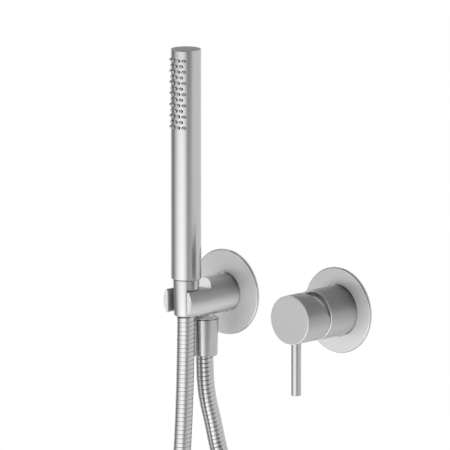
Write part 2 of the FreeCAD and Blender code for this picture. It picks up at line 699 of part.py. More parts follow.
def sleeve_and_cover():
    """The outer sleeve, the rubber ring inside it and the domed cover ring in its mouth."""
    inner = "sleeve_radius - sleeve_wall"
    sleeve = turned("mixer_sleeve", [
        (inner, "sleeve_rear"),
        ("sleeve_radius", "sleeve_rear"),
        ("sleeve_radius", "sleeve_front - sleeve_edge"),
        ("sleeve_radius - sleeve_edge", "sleeve_front"),
        (inner + " + sleeve_edge", "sleeve_front"),
        (inner, "sleeve_front - sleeve_edge"),
    ], OUT)
    keep(sleeve, "mixer_sleeve")

    ring = doc.addObject("Part::Torus", "sleeve_ring")
    ring.setExpression("Radius1", bound(f"({inner} + neck_radius) / 2"))
    ring.setExpression("Radius2", bound(f"({inner} - neck_radius) / 2"))
    keep(place(ring, OUT, ("0", "-ring_out", "0")), "sleeve_ring")

    pivot = ("0", "-pivot_out", "0")
    dome = cut("dome_half", ball("dome_ball", "dome_radius", pivot),
               rod("dome_back", INTO, "dome_radius + over", "dome_radius + over", pivot))
    skirt = rod("cover_skirt", OUT, "cover_radius", "cover_front - cover_rear", ("0", "-cover_rear", "0"))
    groove = turned("cover_groove", [
        ("groove_inner", "cover_front - groove_depth"),
        ("groove_outer", "cover_front - groove_depth"),
        ("groove_outer", "cover_front + over"),
        ("groove_inner", "cover_front + over"),
    ], OUT)
    inside = fused(
        "cover_inside",
        ball("dome_hollow", "dome_radius - dome_wall", pivot),
        rod("cover_thread", OUT, "neck_radius + fit_gap", "pivot_out - cover_rear + over",
            ("0", "-cover_rear + over", "0")),
        rod("dome_opening", OUT, "dome_mouth", "dome_radius + over", pivot),
    )
    keep(cut("cover_ring", fused("cover_walls", dome, skirt), inside, groove), "cover_ring")


# Handle


def handle():
    """The cap with its slanted rear edge, the lever pin and the grub screw on the spindle."""
    inner = "cap_radius - cap_wall"
    shell = turned("cap_shell", [
        ("0", "boss_rear"),
        ("boss_radius", "boss_rear"),
        ("boss_radius", "cap_front - cap_face"),
        (inner, "cap_front - cap_face"),
        (inner, "cap_rear"),
        ("cap_radius", "cap_rear"),
        ("cap_radius", "cap_front - cap_edge"),
        ("cap_radius - cap_edge", "cap_front"),
        ("0", "cap_front"),
    ], OUT)
    tower = rod("lever_tower", DOWN, "tower_radius", "cap_radius - cap_wall / 2 - spindle_half - over",
                ("0", "-lever_out", "-spindle_half - over"))
    slant = block("cap_slant_tool", ("2 * cap_radius + 2 * over", "2 * cap_radius", "2 * cap_radius"),
                  ("-cap_radius - over", "-cap_rear", "0"))
    slant.Placement = Placement(slant.Placement.Base, Rotation(Vector(1, 0, 0), size["cap_slant"]))
    slant.setExpression("Placement.Rotation.Angle", bound("cap_slant"))
    half = "(spindle_half + socket_play)"
    socket = block("spindle_socket", (f"2 * {half}", f"spindle_front - boss_rear + socket_play + over",
                                      f"2 * {half}"),
                   (f"-{half}", "-spindle_front - socket_play", f"-{half}"))
    thread = rod("lever_thread", DOWN, "root_radius + thread_play", "cap_radius",
                 ("0", "-lever_out", "-spindle_half + over"))
    seat = rod("lever_seat_tool", DOWN, "lever_radius + thread_play", "2 * over",
               ("0", "-lever_out", "-lever_seat"))
    keep(cut("handle_cap", fused("cap_walls", shell, tower), slant, socket, thread, seat), "handle_cap")

    lever = turned("lever_pin", [
        ("0", "-lever_low"),
        ("lever_radius - lever_edge", "-lever_low"),
        ("lever_radius", "-lever_low + lever_edge"),
        ("lever_radius", "-lever_seat"),
        ("root_radius", "-lever_seat"),
        ("root_radius", "-root_top"),
        ("0", "-root_top"),
    ], UP, ("0", "-lever_out", "0"))
    keep(lever, "lever_pin")

    grub_top = "-spindle_half - socket_play"
    grub = rod("grub_blank", DOWN, "root_radius", "grub_length", ("0", "-lever_out", grub_top))
    hexagon_hole = hexagon("grub_hexagon", UP, "grub_hex", "grub_hex_depth + over",
                           ("0", "-lever_out", grub_top + " - grub_length - over"))
    keep(cut("handle_grub_screw", grub, hexagon_hole), "handle_grub_screw")


# Pipe in the wall


def bridge():
    """The flanged bridge pipe with its two union nuts and washers, along X behind the wall."""
    start = "-outlet_reach - washer_thick"
    end = "-axis_spacing + elbow_reach + washer_thick"
    spot = ("0", "outlet_depth", "0")
    pipe = turned("bridge_pipe", [
        ("pipe_radius - pipe_wall", end),
        ("pipe_flange", end),
        ("pipe_flange", end + " + pipe_flange_thick"),
        ("pipe_radius", end + " + pipe_flange_thick"),
        ("pipe_radius", start + " - pipe_flange_thick"),
        ("pipe_flange", start + " - pipe_flange_thick"),
        ("pipe_flange", start),
        ("pipe_radius - pipe_wall", start),
    ], RIGHT, spot)
    keep(pipe, "bridge_pipe")
    for side, face, heading, sign in (("mixer", "-outlet_reach", RIGHT, "-"),
                                      ("elbow", "-axis_spacing + elbow_reach", LEFT, "+")):
        low = f"{face} - washer_thick" if sign == "-" else face
        washer = turned(f"{side}_pipe_washer", [
            ("pipe_radius - pipe_wall", low),
            ("pipe_flange", low),
            ("pipe_flange", low + " + washer_thick"),
            ("pipe_radius - pipe_wall", low + " + washer_thick"),
        ], RIGHT, spot)
        keep(washer, f"{side}_pipe_washer")
        back = f"{face} {sign} (washer_thick + pipe_flange_thick + union_shoulder)"
        grip = f"{face} {sign} (washer_thick + pipe_flange_thick)"
        bar = hexagon(f"{side}_union_bar", heading, "union_radius", "union_length",
                      (back, "outlet_depth", "0"))
        hole = rod(f"{side}_union_hole", heading, "pipe_radius + fit_gap", "union_length",
                   (back, "outlet_depth", "0"))
        thread = rod(f"{side}_union_thread", heading, "pipe_thread + thread_play", "union_length",
                     (grip, "outlet_depth", "0"))
        keep(cut(f"{side}_union_nut", bar, hole, thread), f"{side}_union_nut")


def wall_elbow():
    """The flanged elbow behind the holder and the nipple that comes through the wall."""
    x = "-axis_spacing"
    walls = fused(
        "elbow_walls",
        rod("elbow_barrel", INTO, "elbow_radius", "elbow_back - elbow_front", (x, "elbow_front", "0")),
        rod("elbow_inlet_boss", RIGHT, "elbow_boss", "elbow_reach - thread_length",
            (x, "outlet_depth", "0")),
        rod("elbow_inlet_thread", RIGHT, "pipe_thread", "elbow_reach", (x, "outlet_depth", "0")),
        rod("elbow_flange", INTO, "flange_radius", "flange_thick", (x, "elbow_back - flange_thick", "0")),
    )
    tools = [
        rod("elbow_thread", INTO, "pipe_thread + thread_play", "nipple_depth - elbow_front + 2 * over",
            (x, "elbow_front - over", "0")),
        rod("elbow_way", INTO, "elbow_bore", "outlet_depth - elbow_front", (x, "elbow_front", "0")),
        rod("elbow_cross", RIGHT, "elbow_bore", "elbow_reach + over", (x, "outlet_depth", "0")),
    ]
    for number, degrees in enumerate((90, 210, 330)):
        hole = rod(f"flange_hole_{number}", INTO, "flange_hole", "flange_thick + 2 * over",
                   (f"-axis_spacing + flange_pitch * cos({degrees} deg)",
                    "elbow_back - flange_thick - over",
                    f"flange_pitch * sin({degrees} deg)"))
        tools.append(hole)
    keep(cut("wall_elbow", walls, *tools), "wall_elbow")

    nipple = turned("wall_nipple", [
        ("nipple_bore", "-nipple_depth"),
        ("pipe_thread", "-nipple_depth"),
        ("pipe_thread", "nipple_out"),
        ("nipple_bore", "nipple_out"),
    ], OUT, (x, "0", "0"))
    keep(nipple, "wall_nipple")


# Holder


def holder():
    """The stub with its stepped U-shaped fork and conical seat, and its grub screw."""
    x = "-axis_spacing"
    stub = rod("stub_blank", OUT, "stub_radius", "stub_front - stub_rear", (x, "-stub_rear", "0"))
    step = block("fork_step", ("2 * stub_radius", "stub_front - step_out + over", "stub_radius"),
                 (x + " - stub_radius", "-stub_front - over", "step_height"))
    foot = (x + " - stub_radius", "-step_out", "step_height")
    slope = block("fork_slope", ("2 * stub_radius", "stub_radius", "stub_radius"), foot)
    place(slope, Rotation(Vector(1, 0, 0), size["step_slope"]), foot)
    opening = block("fork_opening", ("2 * fork_half_width", "stub_front - shower_out + over",
                                     "2 * stub_radius + 2 * over"),
                    (x + " - fork_half_width", "-stub_front - over", "-stub_radius - over"))
    taper = "(cone_top_radius - cone_low_radius) / (cone_nut_top - cone_nut_low)"
    seat = doc.addObject("Part::Cone", "fork_seat")
    seat.setExpression("Radius1", bound(f"cone_low_radius + seat_play - (stub_radius + over + cone_nut_low)"
                                        f" * {taper}"))
    seat.setExpression("Radius2", bound(f"cone_low_radius + seat_play + (stub_radius - cone_nut_low)"
                                        f" * {taper}"))
    seat.setExpression("Height", bound("2 * stub_radius + over"))
    place(seat, UP, (x, "-shower_out", "-stub_radius - over"))
    fork = cut("fork_walls", stub, step, slope, opening)
    doc.recompute()
    soft = doc.addObject("Part::Fillet", "fork_soft")
    soft.Base = fork
    soft.Edges = [(number, size["fork_edge"], size["fork_edge"]) for number in fork_edges(fork.Shape)]
    doc.recompute()
    bevel = doc.addObject("Part::Chamfer", "fork_bevel")
    bevel.Base = soft
    bevel.Edges = [(number, size["stub_edge"], size["stub_edge"])
                   for number, edge in enumerate(soft.Shape.Edges, 1)
                   if abs(edge.BoundBox.YMax + size["stub_front"]) < size["fit_gap"]]

    tools = [
        seat,
        rod("stub_thread", OUT, "pipe_thread + thread_play", "stub_thread_length",
            (x, "-stub_rear + over", "0")),
        rod("stub_way", OUT, "stub_bore", "outlet_out", (x, "-stub_rear", "0")),
        rod("spout_hole", UP, "spout_radius + thread_play", "stub_radius + spout_top + over",
            (x, "-outlet_out", "-stub_radius - over")),
        rod("screw_hole", UP, "screw_radius + thread_play", "stub_radius",
            (x, "-screw_out", "-stub_radius - over")),
    ]
    keep(cut("holder_body", bevel, *tools), "holder_body")

    low = "-stub_radius + screw_inset"
    screw = rod("screw_blank", UP, "screw_radius", "stub_radius - screw_inset - pipe_thread - thread_play",
                (x, "-screw_out", low))
    hexagon_hole = hexagon("screw_hexagon", UP, "screw_hex", "screw_hex_depth + over",
                           (x, "-screw_out", low + " - over"))
    keep(cut("holder_grub_screw", screw, hexagon_hole), "holder_grub_screw")


def fork_edges(shape):
    """The straight edges that run out of the wall along the fork's opening, top and bottom."""
    found = []
    for number, edge in enumerate(shape.Edges, 1):
        if not isinstance(edge.Curve, Part.Line):
            continue
        middle = edge.CenterOfMass
        along = abs(edge.tangentAt(edge.FirstParameter).y)
        beside = abs(abs(middle.x + size["axis_spacing"]) - size["fork_half_width"])
        if along > 0.99 and beside < 0.01 * size["fork_half_width"]:
            found.append(number)
    return found


# Outlet below the stub


def outlet():
    """The outlet nipple with its cone, the check valve in it, the hose nut, washer and ferrule."""
    spot = ("-axis_spacing", "-outlet_out", "0")
    spout = turned("outlet_nipple", [
        ("spout_bore", "-spout_low"),
        ("pipe_thread - thread_play", "-spout_low"),
        ("pipe_thread - thread_play", "-flare_low"),
        ("flare_radius", "-flare_low"),
        ("flare_radius", "-flare_end"),
        ("spout_radius", "-flare_start"),
        ("spout_radius", "spout_top"),
        ("spout_bore", "spout_top"),
    ], UP, spot)
    keep(spout, "outlet_nipple")

    nut = turned("outlet_hose_nut", [
        ("pipe_thread + thread_play", "-hose_nut_top"),
        ("hose_nut_top_radius", "-hose_nut_top"),
        ("hose_nut_low_radius", "-hose_nut_low"),
        ("lip_radius", "-hose_nut_low"),
        ("lip_radius", "-hose_nut_low + lip_thick"),
        ("swivel_bore", "-hose_nut_low + lip_thick"),
        ("swivel_bore", "-spout_low - hose_washer_thick - ferrule_flange_thick"),
        ("pipe_thread + thread_play", "-spout_low - hose_washer_thick - ferrule_flange_thick"),
    ], UP, spot)
    round_rim(nut, "hose_nut_round", size["hose_nut_low_radius"], -size["hose_nut_low"])
    keep(nut, "outlet_hose_nut")

    keep(hose_washer("outlet_washer", "-spout_low", spot), "outlet_washer")
    keep(ferrule("outlet_ferrule", "-spout_low - hose_washer_thick", spot), "outlet_ferrule")


def hose_washer(name, top, spot):
    """A flat rubber washer under a threaded end."""
    return turned(name, [
        ("hose_washer_inner", f"{top} - hose_washer_thick"),
        ("hose_washer_outer", f"{top} - hose_washer_thick"),
        ("hose_washer_outer", top),
        ("hose_washer_inner", top),
    ], UP, spot)


def ferrule(name, top, spot):
    """The flanged ferrule that is crimped on the hose's end."""
    neck = f"{top} - ferrule_flange_thick"
    return turned(name, [
        ("ferrule_bore", f"{neck} - ferrule_length"),
        ("ferrule_radius", f"{neck} - ferrule_length"),
        ("ferrule_radius", neck),
        ("ferrule_flange", neck),
        ("ferrule_flange", top),
        ("ferrule_bore", top),
    ], UP, spot)


def check_valve():
    """The non-return valve in the outlet: body with seat and guide, poppet and spring."""
    spot = ("-axis_spacing", "-outlet_out", "0")
    top = "-valve_top"
    low = "-valve_top - valve_length"
    inner = "valve_radius - valve_wall"
    shell = turned("valve_shell", [
        ("guide_radius", low),
        ("valve_radius", low),
        ("valve_radius", top),
        ("valve_throat", top),
        ("valve_throat", f"{top} - valve_seat"),
        (inner, f"{top} - valve_seat"),
        (inner, f"{low} + guide_thick"),
        ("guide_radius", f"{low} + guide_thick"),
    ], UP, spot)
    windows = []
    for x_sign in (-1, 1):
        for y_sign in (-1, 1):
            x = "guide_bar" if x_sign > 0 else "-guide_bar - guide_window"
            y = "guide_bar" if y_sign > 0 else "-guide_bar - guide_window"
            windows.append(block(f"window_{x_sign}_{y_sign}".replace("-", "n"),
                                 ("guide_window", "guide_window", "guide_thick + 2 * over"),
                                 (f"-axis_spacing + {x}", f"-outlet_out + {y}", f"{low} - over")))
    keep(cut("check_valve_body", shell, *windows), "check_valve_body")

    under = f"{top} - valve_seat - water_film"
    poppet = turned("check_valve_poppet", [
        ("0", f"{low} - over"),
        ("poppet_stem", f"{low} - over"),
        ("poppet_stem", f"{under} - poppet_thick"),
        ("poppet_radius", f"{under} - poppet_thick"),
        ("poppet_radius", under),
        ("0", under),
    ], UP, spot)
    keep(poppet, "check_valve_poppet")

    spring_top = -size["valve_top"] - size["valve_seat"] - size["water_film"] - size["poppet_thick"]
    spring_low = -size["valve_top"] - size["valve_length"] + size["guide_thick"]
    wire = size["spring_wire"]
    radius = size["spring_radius"]
    halves = 2 * round(size["spring_turns"])
    lift = (spring_top - spring_low - 2 * wire) / halves
    arcs = []
    for k in range(halves):
        side = 1 if k % 2 == 0 else -1
        first = Vector(side * radius, 0, k * lift)
        middle = Vector(0, side * math.hypot(radius, lift / 2), (k + 0.5) * lift)
        last = Vector(-side * radius, 0, (k + 1) * lift)
        arcs.append(Part.Arc(first, middle, last).toShape())
    section = Part.Wire(Part.makeCircle(wire, Vector(radius, 0, 0), Vector(0, 1, 0)))
    coil = Part.Wire(arcs).makePipeShell([section], True, True)
    coil.translate(Vector(-size["axis_spacing"], -size["outlet_out"], spring_low + wire))
    keep_shape(coil, "check_valve_spring")


# Hand shower


def hand_shower():
    """Conical nut, washer, ferrule, plug with stud, flow regulator and water guide."""
    spot = ("-axis_spacing", "-shower_out", "0")
    nut = turned("hand_shower_nut", [
        ("pipe_thread + thread_play", "cone_nut_top"),
        ("cone_top_radius", "cone_nut_top"),
        ("cone_low_radius", "cone_nut_low"),
        ("lip_radius", "cone_nut_low"),
        ("lip_radius", "cone_nut_low + lip_thick"),
        ("swivel_bore", "cone_nut_low + lip_thick"),
        ("swivel_bore", "cone_shoulder"),
        ("pipe_thread + thread_play", "cone_shoulder"),
    ], UP, spot)
    round_rim(nut, "cone_round", size["cone_low_radius"], size["cone_nut_low"])
    keep(nut, "hand_shower_nut")
    keep(hose_washer("hand_shower_washer", "stud_low", spot), "hand_shower_washer")
    keep(ferrule("hand_shower_ferrule", "stud_low - hose_washer_thick - swivel_gap / 3", spot),
         "hand_shower_ferrule")

    plug_radius = "baton_radius - baton_wall - thread_play"
    plug = turned("hand_shower_plug", [
        ("stud_bore", "stud_low"),
        ("pipe_thread - thread_play", "stud_low"),
        ("pipe_thread - thread_play", "baton_low"),
        (plug_radius, "baton_low"),
        (plug_radius, "plug_top"),
        ("water_guide_radius + thread_play", "plug_top"),
        ("water_guide_radius + thread_play", "plug_shoulder"),
        ("stud_bore", "plug_shoulder"),
    ], UP, spot)
    keep(plug, "hand_shower_plug")

    disc = rod("regulator_blank", UP, "stud_bore - thread_play", "regulator_length",
               ("-axis_spacing", "-shower_out", "regulator_low"))
    holes = []
    for number in range(6):
        angle = 60 * number
        holes.append(rod(f"regulator_hole_{number}", UP, "regulator_hole", "regulator_length + 2 * over",
                         (f"-axis_spacing + stud_bore / 2 * cos({angle} deg)",
                          f"-shower_out + stud_bore / 2 * sin({angle} deg)", "regulator_low - over")))
    keep(cut("flow_regulator", disc, *holes), "flow_regulator")

    guide_top = "baton_top - baton_cover - fit_gap"
    tube = turned("guide_tube", [
        ("water_guide_radius - water_guide_wall", "plug_shoulder"),
        ("water_guide_radius", "plug_shoulder"),
        ("water_guide_radius", guide_top),
        ("water_guide_radius - water_guide_wall", guide_top),
    ], UP, spot)
    slot = block("guide_slot", ("2 * guide_slot_half", "water_guide_radius + over",
                                "guide_slot_top - guide_slot_low"),
                 ("-axis_spacing - guide_slot_half", "-shower_out - water_guide_radius - over",
                  "guide_slot_low"))
    keep(cut("water_guide", tube, slot), "water_guide")


def nozzle_places():
    """Height and bearing of each nozzle: rows of four and three by turns."""
    for row in range(int(size["nozzle_rows"])):
        in_row = 4 if row % 2 == 0 else 3
        for k in range(in_row):
            bearing = (k - (in_row - 1) / 2) * size["nozzle_step"]
            yield row, k, bearing


def nozzle_rods(name, radius, inner, outer):
    """One rod for each nozzle, pointing away from the baton's axis between two radii."""
    rods = []
    for row, k, bearing in nozzle_places():
        piece = rod(f"{name}_{row}_{k}", UP, radius, f"{outer} - ({inner})", ("0", "0", "0"))
        aim = Vector(math.sin(math.radians(bearing)), -math.cos(math.radians(bearing)), 0)
        piece.Placement = Placement(Vector(0, 0, 0), Rotation(Vector(0, 0, 1), aim))
        start = f"({inner})"
        piece.setExpression("Placement.Base.x", bound(f"-axis_spacing + {start} * {aim.x:.9f}"))
        piece.setExpression("Placement.Base.y", bound(f"-shower_out + {start} * {aim.y:.9f}"))
        piece.setExpression("Placement.Base.z", bound(f"nozzle_top - {row} * nozzle_pitch"))
        rods.append(piece)
    return rods


def baton():
    """The baton's tube with a hole for each nozzle, and the silicone pad with its nozzles."""
    spot = ("-axis_spacing", "-shower_out", "0")
    inner = "baton_radius - baton_wall"
    tube = turned("baton_blank", [
        (inner, "baton_low"),
        ("baton_radius - baton_edge", "baton_low"),
        ("baton_radius", "baton_low + baton_edge"),
        ("baton_radius", "baton_top - baton_edge"),
        ("baton_radius - baton_edge", "baton_top"),
        ("0", "baton_top"),
        ("0", "baton_top - baton_cover"),
        (inner, "baton_top - baton_cover"),
    ], UP, spot)
    holes = nozzle_rods("nozzle_hole", "nozzle_radius + nozzle_play", inner + " - over", "baton_radius + over")
    keep(cut("baton_tube", tube, *holes), "baton_tube")

    low = "nozzle_top - (nozzle_rows - 1) * nozzle_pitch - pad_margin"
    wedges = []
    for name, radius in (("pad_outer_wedge", "pad_outer"), ("pad_inner_wedge", "pad_inner")):
        wedge = rod(name, Rotation(Vector(0, 0, 1), -90 - size["pad_spread"] / 2), radius,
                    f"nozzle_top + pad_margin - ({low})", ("-axis_spacing", "-shower_out", low))
        wedge.setExpression("Angle", bound("pad_spread"))
        wedges.append(wedge)
    pad = cut("pad_blank", *wedges)
    stems = nozzle_rods("nozzle_stem", "nozzle_radius", "pad_outer - over", "nozzle_tip")
    bores = nozzle_rods("nozzle_spray", "nozzle_bore", "nozzle_tip - nozzle_bore_depth", "nozzle_tip + over")
    keep(cut("nozzle_pad", fused("pad_walls", pad, *stems), *bores), "nozzle_pad")


# Hose


def strand_path(points):
    """Straight runs joined by tangent arcs, each arc as large as its two runs allow."""
    corners = [Vector(x, -out, z) for x, out, z in points]
    edges = []
    radii = []
    start = corners[0]
    for before, corner, after in zip(corners, corners[1:], corners[2:]):
        back = (before - corner).normalize()
        ahead = (after - corner).normalize()
        turn = math.pi - back.getAngle(ahead)
        reach = 0.45 * min((before - corner).Length, (after - corner).Length)
        radii.append(reach / math.tan(turn / 2))
        middle = (back + ahead).normalize()
        to_arc = radii[-1] / math.cos(turn / 2) - radii[-1]
        first = corner + back * reach
        last = corner + ahead * reach
        edges.append(Part.LineSegment(start, first).toShape())
        edges.append(Part.Arc(first, corner + middle * to_arc, last).toShape())
        start = last
    edges.append(Part.LineSegment(start, corners[-1]).toShape())
    return Part.Wire(edges), radii


def strand(points, name):
    """A plain tube along one strand of the hose."""
    path, radii = strand_path(points)
    start = path.Edges[0]
    section = Part.Wire(Part.makeCircle(size["hose_radius"], start.Vertexes[0].Point, start.tangentAt(0)))
    tube = path.makePipeShell([section], True, True)
    expected = math.pi * size["hose_radius"] ** 2 * path.Length
    print(name, "length", round(path.Length, 1), "volume share", round(tube.Volume / expected, 4),
          "radii", [round(r) for r in radii])
    keep_shape(tube, name)


def hose():
    """The two strands, the coil of the remaining length and its ties."""
    strand(SHOWER_STRAND, "hose_shower_strand")
    strand(OUTLET_STRAND, "hose_outlet_strand")
    reach = "hose_radius + coil_skin"
    front = f"coil_front + {reach}"
    rear = f"coil_front - coil_turns * coil_pitch - {reach}"
    ring = turned("coil_ring", [
        (f"coil_radius - {reach}", rear),
        (f"coil_radius + {reach}", rear),
        (f"coil_radius + {reach}", front),
        (f"coil_radius - {reach}", front),
    ], OUT, ("coil_x", "0", "coil_z"))
    doc.recompute()
    soft = doc.addObject("Part::Fillet", "coil_soft")
    soft.Base = ring
    soft.Edges = [(number, size["coil_round"], size["coil_round"])
                  for number, edge in enumerate(ring.Shape.Edges, 1)
                  if isinstance(edge.Curve, Part.Circle)]
    keep(soft, "hose_coil")

    bands = []
    half_out = "(coil_turns * coil_pitch / 2 + hose_radius + coil_skin)"
    for side, sign in (("left", -1), ("right", 1)):
        walls = []
        for layer, extra, wide in (("outside", "tie_play + tie_thick", "tie_width"),
                                   ("inside", "tie_play", "tie_width + 2 * over")):
            sides = (wide, f"2 * ({half_out} + {extra})", f"2 * ({reach} + {extra})")
            corner = (f"-({wide}) / 2", f"-{half_out} - ({extra})", f"coil_radius - {reach} - ({extra})")
            walls.append(block(f"tie_{side}_{layer}", sides, corner))
        band = cut(f"tie_{side}", *walls)
        lean = Rotation(Vector(0, 1, 0), sign * size["tie_angle"])
        bands.append(place(band, lean, ("coil_x", "-coil_front + coil_turns * coil_pitch / 2", "coil_z")))
    keep(grouped("hose_ties", *bands), "hose_ties")


def check_and_write():
    """Test every object and sub-part, then write each sub-part to its own file."""
    doc.recompute()
    for thing in doc.Objects:
        for state in thing.State:
            if state in ("Invalid", "Error"):
                raise RuntimeError(f"{thing.Label} is {state}")
    os.makedirs("parts", exist_ok=True)
    for piece in nodes:
        shape = piece.Shape
        if shape.isNull() or not shape.isValid():
            raise RuntimeError(f"{piece.Label} has no valid shape")
        shape.exportStep(f"parts/{piece.Label}.step")
        print(piece.Label, len(shape.Solids), round(shape.Volume, 1))


fill_sheet()
rosette("mixer", "sleeve_radius + fit_gap", "0")
rosette("holder", "stub_radius + fit_gap", "-axis_spacing")
mixer_body()
cartridge_still_parts()
cartridge_moving_parts()
sleeve_and_cover()
handle()
bridge()
wall_elbow()
holder()
outlet()
check_valve()
hand_shower()
baton()
hose()
check_and_write()
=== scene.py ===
"""Concealed shower mixer set in brushed steel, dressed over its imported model. The scene is in metres."""
import json
import math

import bmesh
import bpy
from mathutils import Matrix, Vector


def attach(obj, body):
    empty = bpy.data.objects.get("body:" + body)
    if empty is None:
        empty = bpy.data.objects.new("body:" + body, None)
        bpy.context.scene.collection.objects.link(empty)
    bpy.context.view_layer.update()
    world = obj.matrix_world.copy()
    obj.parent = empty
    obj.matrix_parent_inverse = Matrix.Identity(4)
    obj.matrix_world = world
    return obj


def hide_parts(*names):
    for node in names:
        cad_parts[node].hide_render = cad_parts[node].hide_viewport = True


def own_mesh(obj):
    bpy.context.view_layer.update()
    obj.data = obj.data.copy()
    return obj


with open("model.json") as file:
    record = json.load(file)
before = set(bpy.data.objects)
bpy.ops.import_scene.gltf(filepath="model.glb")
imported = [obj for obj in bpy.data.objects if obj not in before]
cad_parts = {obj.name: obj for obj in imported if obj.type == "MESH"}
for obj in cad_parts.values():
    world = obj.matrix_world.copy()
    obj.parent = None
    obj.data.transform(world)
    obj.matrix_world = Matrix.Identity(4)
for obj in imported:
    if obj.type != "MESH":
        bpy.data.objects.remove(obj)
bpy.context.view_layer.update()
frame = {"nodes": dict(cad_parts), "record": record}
nodes = frame["nodes"]
ROOT = "mixer_and_holder"
MM = 0.001
TAU = 2 * math.pi

# The set's places and sizes in millimetres: x to the right, out from the wall, z up from the mixer's axis

HOLDER_X = -120.0
SHOWER_OUT = 49.8
OUTLET_OUT = 27.1
PIVOT_OUT = 28.0
LEVER_OUT = 52.2
OUT = (0, -1, 0)
UP = (0, 0, 1)
ROUND_SIDES = 192
LARGE_ROUND_SIDES = 256

# Node trees


def new_material(name):
    """A material with only a Principled shader and its output."""
    material = bpy.data.materials.new(name)
    material.use_nodes = True
    return material, material.node_tree, material.node_tree.nodes["Principled BSDF"]


def add_node(tree, kind, **values):
    """A node with its properties or sockets set by name."""
    node = tree.nodes.new(kind)
    for name, value in values.items():
        if hasattr(node, name):
            setattr(node, name, value)
        else:
            node.inputs[name.replace("_", " ")].default_value = value
    return node


def scaled_place(tree, scale=(1, 1, 1)):
    """Object coordinates times a scale for each axis."""
    coordinates = add_node(tree, "ShaderNodeTexCoord")
    mapping = add_node(tree, "ShaderNodeMapping")
    mapping.inputs["Scale"].default_value = scale
    tree.links.new(coordinates.outputs["Object"], mapping.inputs["Vector"])
    return mapping.outputs["Vector"]


def noise(tree, place, scale, detail=3.0, roughness=0.55):
    """A noise texture's value."""
    texture = add_node(tree, "ShaderNodeTexNoise")
    texture.inputs["Scale"].default_value = scale
    texture.inputs["Detail"].default_value = detail
    texture.inputs["Roughness"].default_value = roughness
    tree.links.new(place, texture.inputs["Vector"])
    return texture.outputs["Fac"]


def ramp(tree, value, *stops):
    """A color ramp over a value: (position, grey or color) stops."""
    node = add_node(tree, "ShaderNodeValToRGB")
    elements = node.color_ramp.elements
    elements[0].position = stops[0][0]
    elements[1].position = stops[-1][0]
    for position, _ in stops[1:-1]:
        elements.new(position)
    for element, (_, color) in zip(elements, stops):
        grey = (color, color, color) if isinstance(color, (int, float)) else color
        element.color = (*grey, 1)
    tree.links.new(value, node.inputs["Fac"])
    return node.outputs["Color"]


def spread(tree, value, low, high):
    """A value from 0 to 1 mapped to a range."""
    node = add_node(tree, "ShaderNodeMapRange")
    node.inputs["To Min"].default_value = low
    node.inputs["To Max"].default_value = high
    tree.links.new(value, node.inputs["Value"])
    return node.outputs["Result"]


def bump(tree, shader, height, strength, distance):
    """A bump on a shader's normal."""
    node = add_node(tree, "ShaderNodeBump")
    node.inputs["Strength"].default_value = strength
    node.inputs["Distance"].default_value = distance
    tree.links.new(height, node.inputs["Height"])
    tree.links.new(node.outputs["Normal"], shader.inputs["Normal"])


# Materials


def brushed_steel(name, grain, tone=0.50, roughness=0.24, aniso=0.0, polish=0.0, metal=1.0):
    """Satin stainless steel, with its fine grain across the axis that has the large scale.

    With aniso it is brushed round the y axis. A lower share of metal gives a blasted face's soft bloom on
    the rosettes and the cap's front; with a pale tone it is painted light on rims, lips, the fork's cut
    faces and the cover ring.
    """
    material, tree, shader = new_material(name)
    shader.inputs["Metallic"].default_value = metal
    shader.inputs["Anisotropic"].default_value = aniso
    if aniso:
        shader.inputs["Anisotropic Rotation"].default_value = 0.25
        tangent = add_node(tree, "ShaderNodeTangent", direction_type="RADIAL", axis="Y")
        tree.links.new(tangent.outputs["Tangent"], shader.inputs["Tangent"])
    lines = noise(tree, scaled_place(tree, grain), 1.0, 2.0, 0.6)
    clouds = noise(tree, scaled_place(tree), 34.0, 3.0)
    darker = (tone * 0.985, tone * 0.985, tone * 0.98)
    lighter = (tone * 1.015, tone * 1.015, tone * 1.01)
    tree.links.new(ramp(tree, clouds, (0.3, darker), (0.7, lighter)), shader.inputs["Base Color"])
    smooth = roughness * (0.9 - polish * 0.2)
    rough = roughness * 1.12
    tree.links.new(spread(tree, lines, smooth, rough), shader.inputs["Roughness"])
    bump(tree, shader, lines, 0.10 * (1 - polish), 0.02 * MM)
    return material


def cast_brass(name, roughness=0.42):
    """Sand-cast brass with a fine grain."""
    material, tree, shader = new_material(name)
    shader.inputs["Metallic"].default_value = 1.0
    grain = noise(tree, scaled_place(tree), 900.0, 4.0)
    stains = noise(tree, scaled_place(tree), 45.0, 3.0)
    color = ramp(tree, stains, (0.3, (0.60, 0.42, 0.19)), (0.75, (0.76, 0.57, 0.30)))
    tree.links.new(color, shader.inputs["Base Color"])
    tree.links.new(spread(tree, stains, roughness * 0.8, roughness * 1.2), shader.inputs["Roughness"])
    bump(tree, shader, grain, 0.35, 0.06 * MM)
    return material


def moulded(name, color, roughness=0.45, grain=700.0, strength=0.15):
    """A moulded plastic, rubber or ceramic surface."""
    material, tree, shader = new_material(name)
    fine = noise(tree, scaled_place(tree), grain, 3.0)
    broad = noise(tree, scaled_place(tree), 60.0, 2.0)
    dark = tuple(c * 0.93 for c in color)
    light = tuple(min(c * 1.05, 1) for c in color)
    tree.links.new(ramp(tree, broad, (0.3, dark), (0.7, light)), shader.inputs["Base Color"])
    tree.links.new(spread(tree, fine, roughness * 0.88, roughness * 1.1), shader.inputs["Roughness"])
    bump(tree, shader, fine, strength, 0.04 * MM)
    return material


def foam(name):
    """Closed-cell seal foam."""
    material, tree, shader = new_material(name)
    cells = add_node(tree, "ShaderNodeTexVoronoi")
    cells.inputs["Scale"].default_value = 900.0
    tree.links.new(scaled_place(tree), cells.inputs["Vector"])
    tree.links.new(ramp(tree, cells.outputs["Distance"], (0.0, 0.05), (0.6, 0.12)),
                   shader.inputs["Base Color"])
    shader.inputs["Roughness"].default_value = 0.85
    bump(tree, shader, cells.outputs["Distance"], 0.6, 0.2 * MM)
    return material


